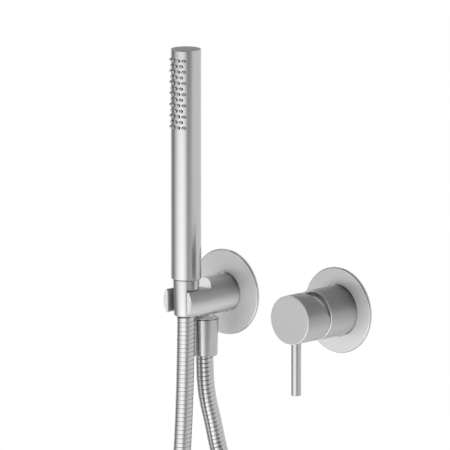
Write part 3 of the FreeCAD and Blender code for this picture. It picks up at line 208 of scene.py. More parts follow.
ACROSS_Y = (260.0, 9000.0, 260.0)
ACROSS_Z = (260.0, 260.0, 9000.0)
EVEN = (2600.0, 2600.0, 2600.0)

steel_y = brushed_steel("steel_turned_on_y", ACROSS_Y, tone=0.54, roughness=0.62, aniso=1.0)
steel_z = brushed_steel("steel_turned_on_z", ACROSS_Z)
steel_small = brushed_steel("steel_small_turned_on_z", ACROSS_Z, tone=0.45)
steel_face = brushed_steel("steel_face", EVEN, tone=0.88, roughness=0.34, metal=0.27)
steel_front = brushed_steel("steel_front", EVEN, tone=0.60, roughness=0.32, metal=0.40)
steel_edge = brushed_steel("steel_edge", EVEN, tone=0.50, roughness=0.14, polish=0.6)
# Painted shade: a near-black steel for the baton's flat top
steel_end_painted_shade = brushed_steel("steel_baton_top_painted_shade", EVEN, tone=0.09, roughness=0.36)
steel_fork = brushed_steel("steel_fork", ACROSS_Y, tone=0.66, roughness=0.62, aniso=1.0)
# Painted light: a lighter, partly diffuse steel for the fork's faces that look out and up
steel_cut_painted_light = brushed_steel("steel_cut_face_painted_light", EVEN, tone=0.84, roughness=0.24, metal=0.6)
# An even, milled steel that is also darker than the fork: painted shade on the fork's inner walls
steel_milled_painted_shade = brushed_steel("steel_milled_inside_painted_shade", EVEN, tone=0.52, roughness=0.34, metal=0.8)
# Painted light: a pale, mostly diffuse steel that keeps the polished parts and the cover ring's dome light
steel_bright_painted_light = brushed_steel("steel_polished_painted_light", ACROSS_Y, tone=0.90, roughness=0.34, polish=0.4, metal=0.15)
# Painted light: a pale, partly diffuse steel for the cap's rounded front edge and the outlet collar's
# upward faces
steel_rim_painted_light = brushed_steel("steel_rim_painted_light", EVEN, tone=0.85, roughness=0.30, metal=0.3)
# Painted highlight: a near-white steel for the sleeve's front rim and the cover ring's bead
steel_lip_painted_highlight = brushed_steel("steel_lip_painted_highlight", EVEN, tone=0.95, roughness=0.26, metal=0.6)
steel_plain = brushed_steel("steel_machined", EVEN, tone=0.50, roughness=0.32)
steel_hose = brushed_steel("steel_hose", EVEN, tone=0.49, roughness=0.16, polish=0.3)
# Painted shade: a near-black steel in the hose's grooves
hose_groove_painted_shade = brushed_steel("hose_groove_painted_shade", EVEN, tone=0.14, roughness=0.5)
brass = cast_brass("brass_cast")
ceramic = moulded("ceramic", (0.90, 0.88, 0.82), 0.18, 1500.0, 0.05)
dark_plastic = moulded("cartridge_plastic", (0.10, 0.105, 0.12), 0.42)
white_plastic = moulded("white_plastic", (0.82, 0.82, 0.80), 0.38)
black_rubber = moulded("black_rubber", (0.025, 0.025, 0.026), 0.6, 1100.0, 0.3)
grey_silicone = moulded("grey_silicone", (0.66, 0.66, 0.63), 0.4, 1400.0, 0.1)
# Near-black for the nozzles' clearance gap, drawn much wider than it is, and their spray holes: partly a
# dark joint, partly painted shade
nozzle_gap_and_painted_shade = moulded("nozzle_gap_and_painted_shade", (0.008, 0.008, 0.008), 0.85, 1100.0, 0.1)
seal_foam = foam("seal_foam")
fibre = moulded("pressed_fibre", (0.36, 0.09, 0.06), 0.8, 1600.0, 0.5)

BY_SLOT = {
    "brushed_steel": steel_z,
    "polished_steel": steel_bright_painted_light,
    "plain_steel": steel_plain,
    "hose_steel": steel_hose,
    "brass": brass,
    "ceramic": ceramic,
    "cartridge_plastic": dark_plastic,
    "white_plastic": white_plastic,
    "black_rubber": black_rubber,
    "seal_foam": seal_foam,
    "fibre": fibre,
    "nozzle_silicone": grey_silicone,
}
SHARP_SOLID = math.radians(30)
for part in frame["record"]["subparts"]:
    mesh_data = nodes[part["node"]].data
    mesh_data.materials.clear()
    mesh_data.materials.append(BY_SLOT[part["material_slot"]])
    for face in mesh_data.polygons:
        face.use_smooth = True
    mesh_data.set_sharp_from_angle(angle=SHARP_SOLID)


def refinish(mesh, material, chosen):
    """Another finish on the faces for which chosen(face) is true."""
    mesh.materials.append(material)
    index = len(mesh.materials) - 1
    for face in mesh.polygons:
        if chosen(face):
            face.material_index = index


def is_fork_front(face):
    """The cut faces that look out from the wall, and the slope at 45 degrees behind the fork."""
    normal = face.normal
    slope = normal.z > 0.69 and abs(normal.z + normal.y) < 0.02 and abs(normal.x) < 0.02
    return slope or normal.y < -0.99


def is_fork_inside(face):
    """The flat walls of the fork's opening, which look at the hand shower's nut."""
    return abs(face.normal.x) > 0.999 and abs(face.center.x - HOLDER_X * MM) < 13.5 * MM


holder = nodes["holder_body"].data
holder.materials.clear()
holder.materials.append(steel_fork)
# The fork's cut faces that look out, and its slope, take the lighter steel: painted light
refinish(holder, steel_cut_painted_light, is_fork_front)
# The fork's inner walls beside the nut take the darker steel: painted shade
refinish(holder, steel_milled_painted_shade, is_fork_inside)

# Mesh building


def finish_piece(name, bm, materials, body, stands_for, smooth=35):
    """A bmesh as a linked piece that rides on a body and stands for CAD nodes."""
    bmesh.ops.recalc_face_normals(bm, faces=bm.faces)
    mesh = bpy.data.meshes.new(name)
    bm.to_mesh(mesh)
    bm.free()
    for material in materials:
        mesh.materials.append(material)
    for face in mesh.polygons:
        face.use_smooth = True
    mesh.set_sharp_from_angle(angle=math.radians(smooth))
    piece = bpy.data.objects.new(name, mesh)
    bpy.context.scene.collection.objects.link(piece)
    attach(piece, body)
    if stands_for:
        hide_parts(*stands_for)
    return piece


def bridge(bm, first, second, index=0):
    """A band of faces between two rings with the same number of vertices."""
    for k in range(len(first)):
        after = (k + 1) % len(first)
        bm.faces.new((first[k], first[after], second[after], second[k])).material_index = index


def softened(profile, rounds):
    """A profile in millimetres with chosen corners replaced by arcs: {corner index: radius}."""
    corners = [Vector((r, h)) for r, h in profile]
    count = len(corners)
    points = []
    for k, corner in enumerate(corners):
        radius = rounds.get(k)
        if not radius:
            points.append(corner)
            continue
        back = (corners[k - 1] - corner).normalized()
        ahead = (corners[(k + 1) % count] - corner).normalized()
        half = back.angle(ahead) / 2
        reach = radius / math.tan(half)
        centre = corner + (back + ahead).normalized() * (radius / math.sin(half))
        first = corner + back * reach - centre
        last = corner + ahead * reach - centre
        steps = max(3, int(8 * (1 - half / (math.pi / 2)) + 2))
        for step in range(steps + 1):
            t = step / steps
            arm = (first * (1 - t) + last * t).normalized() * radius
            points.append(centre + arm)
    return [(p.x, p.y) for p in points]


def lathe(name, profile, heading, spot, material, body, stands_for, segments=ROUND_SIDES):
    """A turned piece from a closed (radius, height) profile in millimetres round a heading."""
    turn = Vector((0, 0, 1)).rotation_difference(Vector(heading))
    spot = Vector(spot)
    bm = bmesh.new()
    rings = []
    for radius, height in profile:
        if radius < 1e-6:
            rings.append([bm.verts.new((turn @ Vector((0, 0, height)) + spot) * MM)] * segments)
            continue
        ring = []
        for k in range(segments):
            angle = TAU * k / segments
            point = Vector((radius * math.cos(angle), radius * math.sin(angle), height))
            ring.append(bm.verts.new((turn @ point + spot) * MM))
        rings.append(ring)
    for first, second in zip(rings, rings[1:] + rings[:1]):
        for k in range(segments):
            after = (k + 1) % segments
            corners = [first[k], first[after], second[after], second[k]]
            unique = list(dict.fromkeys(corners))
            if len(unique) >= 3:
                bm.faces.new(unique)
    return finish_piece(name, bm, (material,), body, stands_for)


# Rosettes, sleeve and cover ring

ROSETTE_RADIUS = 35.0
ROSETTE_THICK = 2.0
SLEEVE_RADIUS = 20.5
SLEEVE_INNER = 18.5
SLEEVE_BACK = 0.2
SLEEVE_FRONT = 32.6


def rosette(name, hole, x):
    """A thin round wall plate with a polished edge and a relief groove round what stands in it."""
    groove = hole + 0.6
    groove_floor = 0.9
    seal_inner = 24.0
    seal_outer = 32.0
    seal_deep = 0.8
    profile = softened([(hole, 0), (seal_inner, 0), (seal_inner, seal_deep), (seal_outer, seal_deep),
                        (seal_outer, 0), (ROSETTE_RADIUS, 0), (ROSETTE_RADIUS, ROSETTE_THICK),
                        (groove, ROSETTE_THICK), (groove, groove_floor), (hole, groove_floor)],
                       {6: 0.9, 7: 0.15})
    piece = lathe(name + "_skin", profile, OUT, (x, 0, 0), steel_face, ROOT, (name,),
                  LARGE_ROUND_SIDES)
    refinish(piece.data, steel_edge, lambda face: face.normal.y > -0.97 or face.center.y > -1.5 * MM)


rosette("mixer_rosette", 20.6, 0)
rosette("holder_rosette", 15.6, HOLDER_X)

sleeve_profile = softened([(SLEEVE_INNER, SLEEVE_BACK), (SLEEVE_RADIUS, SLEEVE_BACK),
                           (SLEEVE_RADIUS, SLEEVE_FRONT), (SLEEVE_INNER, SLEEVE_FRONT)], {2: 0.6, 3: 0.6})
sleeve = lathe("mixer_sleeve_skin", sleeve_profile, OUT, (0, 0, 0), steel_y, ROOT, ("mixer_sleeve",),
               LARGE_ROUND_SIDES)
# The sleeve's front rim in the near-white steel: a painted highlight
refinish(sleeve.data, steel_lip_painted_highlight, lambda face: face.normal.y < -0.2)


def cover_ring_profile():
    """The cover ring: threaded skirt, beaded rim and a thin dome round the tilting axis."""
    skirt_inner = 16.1
    skirt_outer = 18.0
    skirt_back = 20.0
    bead = [(skirt_outer, 31.6), (17.9, 31.87), (17.62, 32.0), (17.34, 31.87), (17.23, 31.6)]
    groove = [(17.2, 31.4), (16.85, 31.4)]
    dome_outer = 17.2
    dome_inner = 16.3
    dome_start = 31.9
    mouth = 11.8
    steps = 24
    points = [(skirt_inner, skirt_back), (skirt_outer, skirt_back), *bead, *groove]
    start = math.asin((dome_start - PIVOT_OUT) / dome_outer)
    end = math.acos(mouth / dome_outer)
    for k in range(steps + 1):
        angle = start + (end - start) * k / steps
        points.append((dome_outer * math.cos(angle), PIVOT_OUT + dome_outer * math.sin(angle)))
    end = math.acos(mouth / dome_inner)
    for k in range(steps + 1):
        angle = end * (1 - k / steps)
        points.append((dome_inner * math.cos(angle), PIVOT_OUT + dome_inner * math.sin(angle)))
    points.append((skirt_inner, PIVOT_OUT - 0.4))
    return points


def is_bead(face):
    """The rounded rim of the cover ring."""
    return face.center.y < -31.5 * MM and math.hypot(face.center.x, face.center.z) > 17.2 * MM


# The cover ring in the pale, mostly diffuse steel: painted light
cover = lathe("cover_ring_skin", cover_ring_profile(), OUT, (0, 0, 0), steel_bright_painted_light, ROOT, ("cover_ring",))
# The cover ring's bead in the near-white steel: a painted highlight
refinish(cover.data, steel_lip_painted_highlight, is_bead)

# Handle

CAP_RADIUS = 20.0
CAP_INNER = 18.3
CAP_BACK = 33.4
CAP_FRONT = 60.5
CAP_ROUND = 0.6
CAP_SLANT = math.tan(math.radians(26))
CAP_FLOOR = 57.5


def handle_cap():
    """The round cap: a thick front face, a thin wall whose rear edge is slanted above the axis."""
    socket_radius = 7.5
    socket_back = 46.0
    edge = 0.22
    round_steps = 6
    bm = bmesh.new()

    def ring(radius, front=None, lift=0.0):
        """A ring as far out from the wall as front, or along the slanted rear edge."""
        places = []
        for k in range(LARGE_ROUND_SIDES):
            angle = TAU * k / LARGE_ROUND_SIDES
            x = radius * math.cos(angle)
            z = radius * math.sin(angle)
            out = front if front is not None else CAP_BACK + max(0.0, z * CAP_SLANT) + lift
            places.append(bm.verts.new(Vector((x, -out, z)) * MM))
        return places

    shoulder = CAP_FRONT - CAP_ROUND
    rings = [ring(CAP_INNER, CAP_FLOOR), ring(CAP_INNER, None, edge), ring(CAP_INNER + edge),
             ring(CAP_RADIUS - edge), ring(CAP_RADIUS, None, edge), ring(CAP_RADIUS, shoulder)]
    for k in range(1, round_steps + 1):
        angle = math.pi / 2 * k / round_steps
        radius = CAP_RADIUS - CAP_ROUND * (1 - math.cos(angle))
        rings.append(ring(radius, shoulder + CAP_ROUND * math.sin(angle)))
    for radius in (18.0, 12.0, 6.0, 0.5):
        rings.append(ring(radius, CAP_FRONT))
    for first, second in zip(rings, rings[1:]):
        bridge(bm, first, second)
    bm.faces.new(rings[-1])
    rim = ring(socket_radius, CAP_FLOOR)
    bottom = ring(socket_radius, socket_back)
    bridge(bm, rim, rings[0])
    bridge(bm, bottom, rim)
    bm.faces.new(bottom)
    return finish_piece("handle_cap_skin", bm, (steel_y,), "handle", ("handle_cap",))


def is_cap_face(face):
    """The flat front face inside the rounded edge."""
    return face.normal.y < -0.99 and face.center.y < -60.4 * MM


cap = handle_cap()
refinish(cap.data, steel_front, is_cap_face)
# The cap's rounded front edge in the pale steel: a painted highlight
refinish(cap.data, steel_rim_painted_light, lambda face: face.center.y < -59.9 * MM and not is_cap_face(face))

LEVER_RADIUS = 4.0
LEVER_TIP = -62.6
LEVER_ROOT = -19.2
LEVER_THREAD = 2.5
LEVER_TOP = -9.4
lever_profile = softened([(0, LEVER_TIP), (LEVER_RADIUS, LEVER_TIP), (LEVER_RADIUS, LEVER_ROOT),
                          (LEVER_THREAD, LEVER_ROOT), (LEVER_THREAD, LEVER_TOP), (0, LEVER_TOP)], {1: 0.45})
lathe("lever_pin_skin", lever_profile, UP, (0, -LEVER_OUT, 0), steel_small, "handle", ("lever_pin",),
      96)

# Outlet nipple, nuts and baton: profiles of radius and height above the mixer's axis

nipple_profile = softened([(6.4, -29.2), (9.85, -29.2), (9.85, -17.6), (11.2, -17.6), (11.2, -17.2),
                           (7.8, -15.2), (7.8, 0.5), (6.4, 0.5)], {3: 0.15, 4: 0.15, 5: 0.6})
nipple = lathe("outlet_nipple_skin", nipple_profile, UP, (HOLDER_X, -OUTLET_OUT, 0), steel_z, ROOT,
               ("outlet_nipple",), 160)
# The collar's upward faces in the pale steel: painted light
refinish(nipple.data, steel_rim_painted_light, lambda face: face.normal.z > 0.3 and face.center.z > -17.5 * MM)

outlet_nut_profile = softened([(9.9, -18.0), (11.4, -18.0), (10.5, -48.6), (7.6, -48.6), (7.6, -46.8),
                               (8.6, -46.8), (8.6, -33.4), (9.9, -33.4)], {1: 0.6, 2: 1.3, 3: 0.3})
lathe("outlet_hose_nut_skin", outlet_nut_profile, UP, (HOLDER_X, -OUTLET_OUT, 0), steel_small, ROOT,
      ("outlet_hose_nut",))

shower_nut_profile = softened([(9.95, 17.6), (10.8, 17.6), (9.9, -13.0), (7.6, -13.0), (7.6, -11.2),
                               (8.6, -11.2), (8.6, 1.8), (9.95, 1.8)], {1: 0.5, 2: 2.0, 3: 0.3})
lathe("hand_shower_nut_skin", shower_nut_profile, UP, (HOLDER_X, -SHOWER_OUT, 0), steel_z, "hand_shower",
      ("hand_shower_nut",))

BATON_RADIUS = 12.3
BATON_INNER = 11.3
BATON_LOW = 18.0
BATON_TOP = 206.1
BATON_COVER = 2.0
baton_profile = softened([(BATON_INNER, BATON_LOW), (BATON_RADIUS, BATON_LOW), (BATON_RADIUS, BATON_TOP),
                          (0, BATON_TOP), (0, BATON_TOP - BATON_COVER),
                          (BATON_INNER, BATON_TOP - BATON_COVER)], {1: 0.6, 2: 0.4})
baton = lathe("baton_skin", baton_profile, UP, (HOLDER_X, -SHOWER_OUT, 0), steel_z, "hand_shower",
              ("baton_tube",), LARGE_ROUND_SIDES)
# The baton's flat top takes the near-black steel: painted shade
refinish(baton.data, steel_end_painted_shade, lambda face: face.normal.z > 0.99 and face.center.z > 206.0 * MM)


def valve_spring():
    """The check valve's spring, built at one length; the real spring shortens towards its seat as the
    poppet opens.
    """
    low = -16.0
    high = -6.65
    wire = 0.5
    radius = 3.0
    turns = 4
    per_turn = 40
    sides = 10
    steps = turns * per_turn
    climb = high - low - 2 * wire
    bm = bmesh.new()
    rings = []
    for k in range(steps + 1):
        turned = TAU * turns * k / steps
        ring = []
        for side in range(sides):
            angle = TAU * side / sides
            reach = radius + wire * math.cos(angle)
            x = HOLDER_X + reach * math.cos(turned)
            y = -OUTLET_OUT + reach * math.sin(turned)
            z = low + wire + climb * k / steps + wire * math.sin(angle)
            ring.append(bm.verts.new(Vector((x, y, z)) * MM))
        rings.append(ring)
    for first, second in zip(rings, rings[1:]):
        bridge(bm, first, second)
    bm.faces.new(rings[0])
    bm.faces.new(rings[-1])
    piece = finish_piece("valve_spring", bm, (steel_plain,), ROOT, ("check_valve_spring",),
                         50)
    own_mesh(piece)


valve_spring()


def nozzles():
    """Every nozzle: a soft nub with a dimple for its spray hole, on a near-black ring laid over the baton;
    the ring stands for the clearance gap but is much wider, so it is partly a dark joint and partly painted
    shade, and the dark dimple is painted shade too.
    """
    rows = 13
    pitch = 4.57
    top = 198.0
    step_round = 21.9
    gap_and_shade_ring = [(1.9, 1.25, 12.1), (1.9, 1.25, 12.33), (1.8, 1.2, 12.36), (1.08, 1.06, 12.34)]
    nub = [(1.03, 12.5), (1.03, 12.9), (1.02, 13.4), (0.95, 13.64), (0.8, 13.74), (0.6, 13.74),
           (0.52, 13.66), (0.5, 12.6)]
    outline = gap_and_shade_ring + [(radius, radius, reach) for radius, reach in nub]
    dimple = len(outline) - 2
    sides = 20
    bm = bmesh.new()
    for row in range(rows):
        in_row = 4 if row % 2 == 0 else 3
        for k in range(in_row):
            bearing = math.radians((k - (in_row - 1) / 2) * step_round)
            aim = Vector((math.sin(bearing), -math.cos(bearing), 0))
            across = Vector((math.cos(bearing), math.sin(bearing), 0))
            rise = Vector((0, 0, 1))
            base = Vector((HOLDER_X, -SHOWER_OUT, top - row * pitch))
            rings = []
            for level, (wide, tall, reach) in enumerate(outline):
                ring = []
                for side in range(sides):
                    angle = TAU * side / sides
                    aside = wide * math.cos(angle)
                    depth = math.sqrt(reach ** 2 - aside ** 2) if level < len(gap_and_shade_ring) else reach
                    point = across * aside + rise * (tall * math.sin(angle)) + aim * depth
                    ring.append(bm.verts.new((base + point) * MM))
                rings.append(ring)
            # The ring and the dimple take the near-black: partly gap, partly painted shade
            for level, (first, second) in enumerate(zip(rings, rings[1:])):
                bridge(bm, first, second, 1 if level < len(gap_and_shade_ring) or level >= dimple else 0)
            bm.faces.new(rings[-1]).material_index = 1
            bm.faces.new(list(reversed(rings[0]))).material_index = 1
    finish_piece("nozzles", bm, (grey_silicone, nozzle_gap_and_painted_shade), "hand_shower", (), 50)


nozzles()

# Hose

SHOWER_STRAND = [
    (-120.0, 49.8, -11.05),
    (-120.2, 50.1, -44.0),
    (-120.7, 50.8, -80.0),
    (-121.6, 51.9, -115.0),
    (-122.7, 52.5, -134.6),
    (-128.5, 53.2, -153.3),
    (-138.6, 53.7, -170.1),
    (-152.4, 54.0, -183.9),
]
OUTLET_STRAND = [
    (-120.0, 27.1, -46.4),
    (-119.9, 27.0, -65.0),
    (-118.9, 24.9, -84.5),
    (-116.6, 20.6, -104.0),
    (-114.6, 17.2, -124.0),
    (-108.7, 15.6, -143.1),
    (-98.4, 15.0, -160.3),
    (-78.3, 14.7, -180.4),
]
COIL_X = -113.6
COIL_Z = -245.5
COIL_RADIUS = 71.6
COIL_TURNS = 2.75
COIL_FRONT = 54.0
COIL_PITCH = 14.3
COIL_START = math.radians(135)
POINTS_PER_TURN = 18
HOSE_RADIUS = 7.2
RIDGE_PITCH = 3.54


def hose_route():
    """The hose from the hand shower down, round the put-away coil, and up to the outlet."""
    route = [Vector((x, -out, z)) for x, out, z in SHOWER_STRAND]
    count = round(COIL_TURNS * POINTS_PER_TURN)
    for k in range(count + 1):
        turned = k / POINTS_PER_TURN
        angle = COIL_START + TAU * turned
        x = COIL_X + COIL_RADIUS * math.cos(angle)
        out = COIL_FRONT - COIL_PITCH * turned
        z = COIL_Z + COIL_RADIUS * math.sin(angle)
        route.append(Vector((x, -out, z)))
    route += [Vector((x, -out, z)) for x, out, z in reversed(OUTLET_STRAND)]
    return route


def spline_points(route, resolution):
    """Points along the smooth NURBS line that has the route's points as its control points."""
    curve = bpy.data.curves.new("hose_line", "CURVE")
    curve.dimensions = "3D"
    spline = curve.splines.new("NURBS")
    spline.points.add(len(route) - 1)
    for point, place in zip(spline.points, route):
        point.co = (*(place * MM), 1)
    spline.order_u = 3
    spline.use_endpoint_u = True
    spline.resolution_u = resolution
    line = bpy.data.objects.new("hose_line", curve)
    bpy.context.scene.collection.objects.link(line)
    mesh = bpy.data.meshes.new_from_object(line)
    points = [v.co.copy() for v in mesh.vertices]
    bpy.data.objects.remove(line)
    bpy.data.meshes.remove(mesh)
    return points


def evenly(points, step):
    """The same line with points about a step apart, and the line's length."""
    lengths = [0.0]
    for first, second in zip(points, points[1:]):
        lengths.append(lengths[-1] + (second - first).length)
    total = lengths[-1]
    count = int(round(total / step))
    even = []
    k = 0
    for n in range(count + 1):
        want = total * n / count
        while k < len(lengths) - 2 and lengths[k + 1] < want:
            k += 1
        share = (want - lengths[k]) / max(lengths[k + 1] - lengths[k], 1e-12)
        even.append(points[k].lerp(points[k + 1], min(max(share, 0.0), 1.0)))
    return even, total


# One pitch of the wound strip: the share of the pitch and the depth below the hose's radius

STRIP = [(0.0, 0.0), (0.66, 0.0), (0.76, 0.02), (0.86, 0.08), (0.93, 0.15), (0.972, 0.22)]
SIDES_ROUND = 26


def hose():
    """A wound metal hose: one strip whose broad bands and narrow grooves climb as a screw."""
    line = spline_points(hose_route(), 24)
    even, total = evenly(line, 0.25 * MM)
    step = total / (len(even) - 1)
    window = 4
    frames = []
    side = None
    for k, place in enumerate(even):
        low = even[max(k - window, 0)]
        high = even[min(k + window, len(even) - 1)]
        tangent = (high - low).normalized()
        side = tangent.orthogonal() if side is None else side - tangent * side.dot(tangent)
        side.normalize()
        frames.append((place, side.copy(), tangent.cross(side)))
    turns = int(total / (RIDGE_PITCH * MM)) - 1
    pitch = total / (turns + STRIP[-1][0])
    bm = bmesh.new()
    rows = []
    for k in range(turns * SIDES_ROUND + 1):
        angle = TAU * k / SIDES_ROUND
        row = []
        for share, depth in STRIP:
            spot = min((k / SIDES_ROUND + share) * pitch / step, len(frames) - 1.001)
            whole = int(spot)
            place, across, over = frames[whole]
            middle = place.lerp(frames[whole + 1][0], spot - whole)
            away = across * math.cos(angle) + over * math.sin(angle)
            row.append(bm.verts.new(middle + away * ((HOSE_RADIUS - depth) * MM)))
        rows.append(row)
    # The innermost band of each turn and the step into the next take the near-black steel: painted shade in
    # the groove
    for k in range(turns * SIDES_ROUND):
        first = rows[k]
        second = rows[k + 1]
        for j in range(len(STRIP) - 1):
            face = bm.faces.new((first[j], second[j], second[j + 1], first[j + 1]))
            face.material_index = 1 if j == len(STRIP) - 2 else 0
        ahead = k + SIDES_ROUND
        if ahead + 1 < len(rows):
            bm.faces.new((first[-1], second[-1], rows[ahead + 1][0], rows[ahead][0])).material_index = 1
    piece = finish_piece("hose", bm, (steel_hose, hose_groove_painted_shade), ROOT,
                         ("hose_shower_strand", "hose_outlet_strand", "hose_coil"), 60)


hose()

# Camera, in metres: the photograph's angle, far away, because its lines stay parallel

AZIMUTH = math.radians(41.2)
ELEVATION = math.radians(10.63)
PIXELS_PER_MM = 1.239
FRAME_PIXELS = 450
DISTANCE = 14.0
SENSOR = 36.0
target = Vector((-0.0955, -0.030, 0.0619))
toward = Vector((math.sin(AZIMUTH) * math.cos(ELEVATION), -math.cos(AZIMUTH) * math.cos(ELEVATION),
                 math.sin(ELEVATION)))
camera_data = bpy.data.cameras.new("camera")
camera_data.sensor_width = SENSOR
camera_data.lens = SENSOR * DISTANCE / (FRAME_PIXELS / PIXELS_PER_MM * MM)
camera_data.clip_start = 1.0
camera_data.clip_end = 60.0
camera = bpy.data.objects.new("camera", camera_data)
camera.rotation_mode = "QUATERNION"
camera.location = target + toward * DISTANCE
camera.rotation_quaternion = (-toward).to_track_quat("-Z", "Y")
bpy.context.scene.collection.objects.link(camera)
bpy.context.scene.camera = camera

# Wall and floor, in metres


def stage_piece(name, places, faces, material):
    """A piece of the studio from places in metres and faces."""
    mesh = bpy.data.meshes.new(name)
    mesh.from_pydata(places, [], faces)
    mesh.materials.append(material)
    piece = bpy.data.objects.new(name, mesh)
    bpy.context.scene.collection.objects.link(piece)
    return piece


def wall_material():
    """A plain white wall, which is only there from the room's side."""
    material, tree, shader = new_material("white_wall")
    tree.nodes.remove(shader)
    output = tree.nodes["Material Output"]
    geometry = add_node(tree, "ShaderNodeNewGeometry")
    white = add_node(tree, "ShaderNodeEmission")
    white.inputs["Strength"].default_value = 1.0
    clear = add_node(tree, "ShaderNodeBsdfTransparent")
    both = add_node(tree, "ShaderNodeMixShader")
    tree.links.new(geometry.outputs["Backfacing"], both.inputs["Fac"])
    tree.links.new(white.outputs["Emission"], both.inputs[1])
    tree.links.new(clear.outputs["BSDF"], both.inputs[2])
    tree.links.new(both.outputs["Shader"], output.inputs["Surface"])
    return material


def floor_material():
    """A plain pale floor that melts into the white backdrop and keeps the shadow on it."""
    material, tree, shader = new_material("pale_floor")
    output = tree.nodes["Material Output"]
    speckle = noise(tree, scaled_place(tree), 3.0, 2.0)
    tree.links.new(ramp(tree, speckle, (0.3, 0.86), (0.7, 0.89)), shader.inputs["Base Color"])
    shader.inputs["Roughness"].default_value = 0.7
    path = add_node(tree, "ShaderNodeLightPath")
    glow = add_node(tree, "ShaderNodeEmission")
    seen = add_node(tree, "ShaderNodeMath", operation="ADD")
    tree.links.new(path.outputs["Is Camera Ray"], seen.inputs[0])
    tree.links.new(path.outputs["Is Glossy Ray"], seen.inputs[1])
    shown = add_node(tree, "ShaderNodeMath", operation="ADD", use_clamp=True)
    tree.links.new(seen.outputs[0], shown.inputs[0])
    tree.links.new(path.outputs["Is Transmission Ray"], shown.inputs[1])
    tree.links.new(shown.outputs[0], glow.inputs["Strength"])
    glow.inputs["Color"].default_value = (0.5, 0.5, 0.5, 1)
    both = add_node(tree, "ShaderNodeAddShader")
    tree.links.new(shader.outputs["BSDF"], both.inputs[0])
    tree.links.new(glow.outputs["Emission"], both.inputs[1])
    tree.links.new(both.outputs["Shader"], output.inputs["Surface"])
    return material


WALL_Y = 0.0002
WALL_REACH = 3
FLOOR_Z = -0.36
FLOOR_LEFT = -0.5
FLOOR_RIGHT = 0.3
FLOOR_FRONT = -0.4
FLOOR_BACK = 0.1
wall_corners = [(-WALL_REACH, WALL_Y, FLOOR_Z), (WALL_REACH, WALL_Y, FLOOR_Z),
                (WALL_REACH, WALL_Y, WALL_REACH), (-WALL_REACH, WALL_Y, WALL_REACH)]
floor_corners = [(FLOOR_LEFT, FLOOR_FRONT, FLOOR_Z), (FLOOR_RIGHT, FLOOR_FRONT, FLOOR_Z),
                 (FLOOR_RIGHT, FLOOR_BACK, FLOOR_Z), (FLOOR_LEFT, FLOOR_BACK, FLOOR_Z)]
stage_piece("wall", wall_corners, [(0, 1, 2, 3)], wall_material())
stage_piece("floor", floor_corners, [(0, 1, 2, 3)], floor_material())

# Light, in metres: a white world, and a large soft screen that is darker to the sides and above

SCREEN_RADIUS = 3.6
SCREEN_STRENGTH = 1.80
MIX_FIRST_COLOR = 6
MIX_SECOND_COLOR = 7
MIX_COLOR = 2

# The screen's glow by bearing and by height: an angle in degrees and the share of the full strength

SIDES = [(-90, 0.11), (-84, 0.14), (-69, 0.19), (-56, 0.30), (-45, 0.50), (-35, 0.66), (-20, 0.86),
         (0, 1.0), (14, 0.98), (30, 0.84), (40, 0.58), (50, 0.28), (62, 0.28), (80, 0.40), (90, 0.46)]
LEVELS = [(-90, 1.5), (-45, 1.6), (-24, 1.2), (-14, 1.0), (-3, 1.0), (6, 0.55), (13, 0.09), (28, 0.02),
          (50, 0.03), (90, 0.10)]


def share_of_half_turn(tree, angle):
    """An angle from minus to plus a quarter turn as a value from 0 to 1."""
    node = add_node(tree, "ShaderNodeMapRange")
    node.inputs["From Min"].default_value = -math.pi / 2
    node.inputs["From Max"].default_value = math.pi / 2
    tree.links.new(angle, node.inputs["Value"])
    return node.outputs["Result"]


def glow_ramp(tree, angle, stops):
    """A ramp over an angle whose stops are in degrees."""
    places = [((turn + 90) / 180, value) for turn, value in stops]
    return ramp(tree, share_of_half_turn(tree, angle), *places)


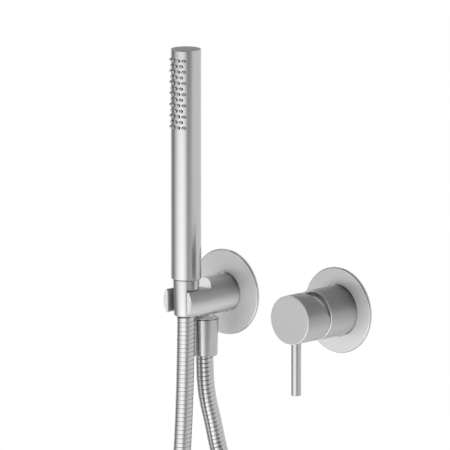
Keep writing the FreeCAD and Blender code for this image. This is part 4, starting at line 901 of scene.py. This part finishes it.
def screen_material():
    """The screen's glow by the bearing and the height of each place on it."""
    material, tree, shader = new_material("soft_screen")
    tree.nodes.remove(shader)
    output = tree.nodes["Material Output"]
    coordinates = add_node(tree, "ShaderNodeTexCoord")
    unit = add_node(tree, "ShaderNodeVectorMath", operation="NORMALIZE")
    tree.links.new(coordinates.outputs["Object"], unit.inputs[0])
    split = add_node(tree, "ShaderNodeSeparateXYZ")
    tree.links.new(unit.outputs["Vector"], split.inputs["Vector"])
    minus_y = add_node(tree, "ShaderNodeMath", operation="MULTIPLY")
    minus_y.inputs[1].default_value = -1.0
    tree.links.new(split.outputs["Y"], minus_y.inputs[0])
    bearing = add_node(tree, "ShaderNodeMath", operation="ARCTAN2")
    tree.links.new(split.outputs["X"], bearing.inputs[0])
    tree.links.new(minus_y.outputs[0], bearing.inputs[1])
    height = add_node(tree, "ShaderNodeMath", operation="ARCSINE")
    tree.links.new(split.outputs["Z"], height.inputs[0])
    product = add_node(tree, "ShaderNodeMix", data_type="RGBA", blend_type="MULTIPLY")
    product.inputs["Factor"].default_value = 1.0
    tree.links.new(glow_ramp(tree, bearing.outputs[0], SIDES), product.inputs[MIX_FIRST_COLOR])
    tree.links.new(glow_ramp(tree, height.outputs[0], LEVELS), product.inputs[MIX_SECOND_COLOR])
    glow = add_node(tree, "ShaderNodeEmission")
    glow.inputs["Strength"].default_value = SCREEN_STRENGTH
    tree.links.new(product.outputs[MIX_COLOR], glow.inputs["Color"])
    tree.links.new(glow.outputs["Emission"], output.inputs["Surface"])
    return material


def screen():
    """Half a globe of soft light round the object on the room's side, which the camera doesn't see."""
    rows = 24
    columns = 36
    places = []
    faces = []
    for row in range(rows + 1):
        rise = math.radians(-90 + 180 * row / rows)
        level = SCREEN_RADIUS * math.cos(rise)
        for column in range(columns + 1):
            bearing = math.radians(-90 + 180 * column / columns)
            places.append((level * math.sin(bearing), -level * math.cos(bearing),
                           SCREEN_RADIUS * math.sin(rise)))
    for row in range(rows):
        for column in range(columns):
            k = row * (columns + 1) + column
            faces.append((k, k + 1, k + columns + 2, k + columns + 1))
    piece = stage_piece("screen", places, faces, screen_material())
    piece.visible_camera = False
    piece.visible_transmission = False
    piece.visible_shadow = False


screen()

SOFTBOX_WATTS = 9.0
SOFTBOX_DISTANCE = 3.0
softbox_data = bpy.data.lights.new("softbox", "AREA")
softbox_data.shape = "RECTANGLE"
softbox_data.size = 1.9
softbox_data.size_y = 1.2
softbox_data.energy = SOFTBOX_WATTS
softbox = bpy.data.objects.new("softbox", softbox_data)
softbox_aim = Vector((-0.647, -0.185, 0.740))
lit_place = Vector((HOLDER_X, -40.0, 0.0)) * MM
softbox.location = lit_place + softbox_aim * SOFTBOX_DISTANCE
softbox.rotation_euler = softbox_aim.to_track_quat("Z", "Y").to_euler()
bpy.context.scene.collection.objects.link(softbox)

world = bpy.data.worlds.new("studio")
bpy.context.scene.world = world
world.use_nodes = True
world.node_tree.nodes["Background"].inputs["Color"].default_value = (1, 1, 1, 1)
world.node_tree.nodes["Background"].inputs["Strength"].default_value = 1.0

bpy.context.scene.view_settings.view_transform = "Standard"
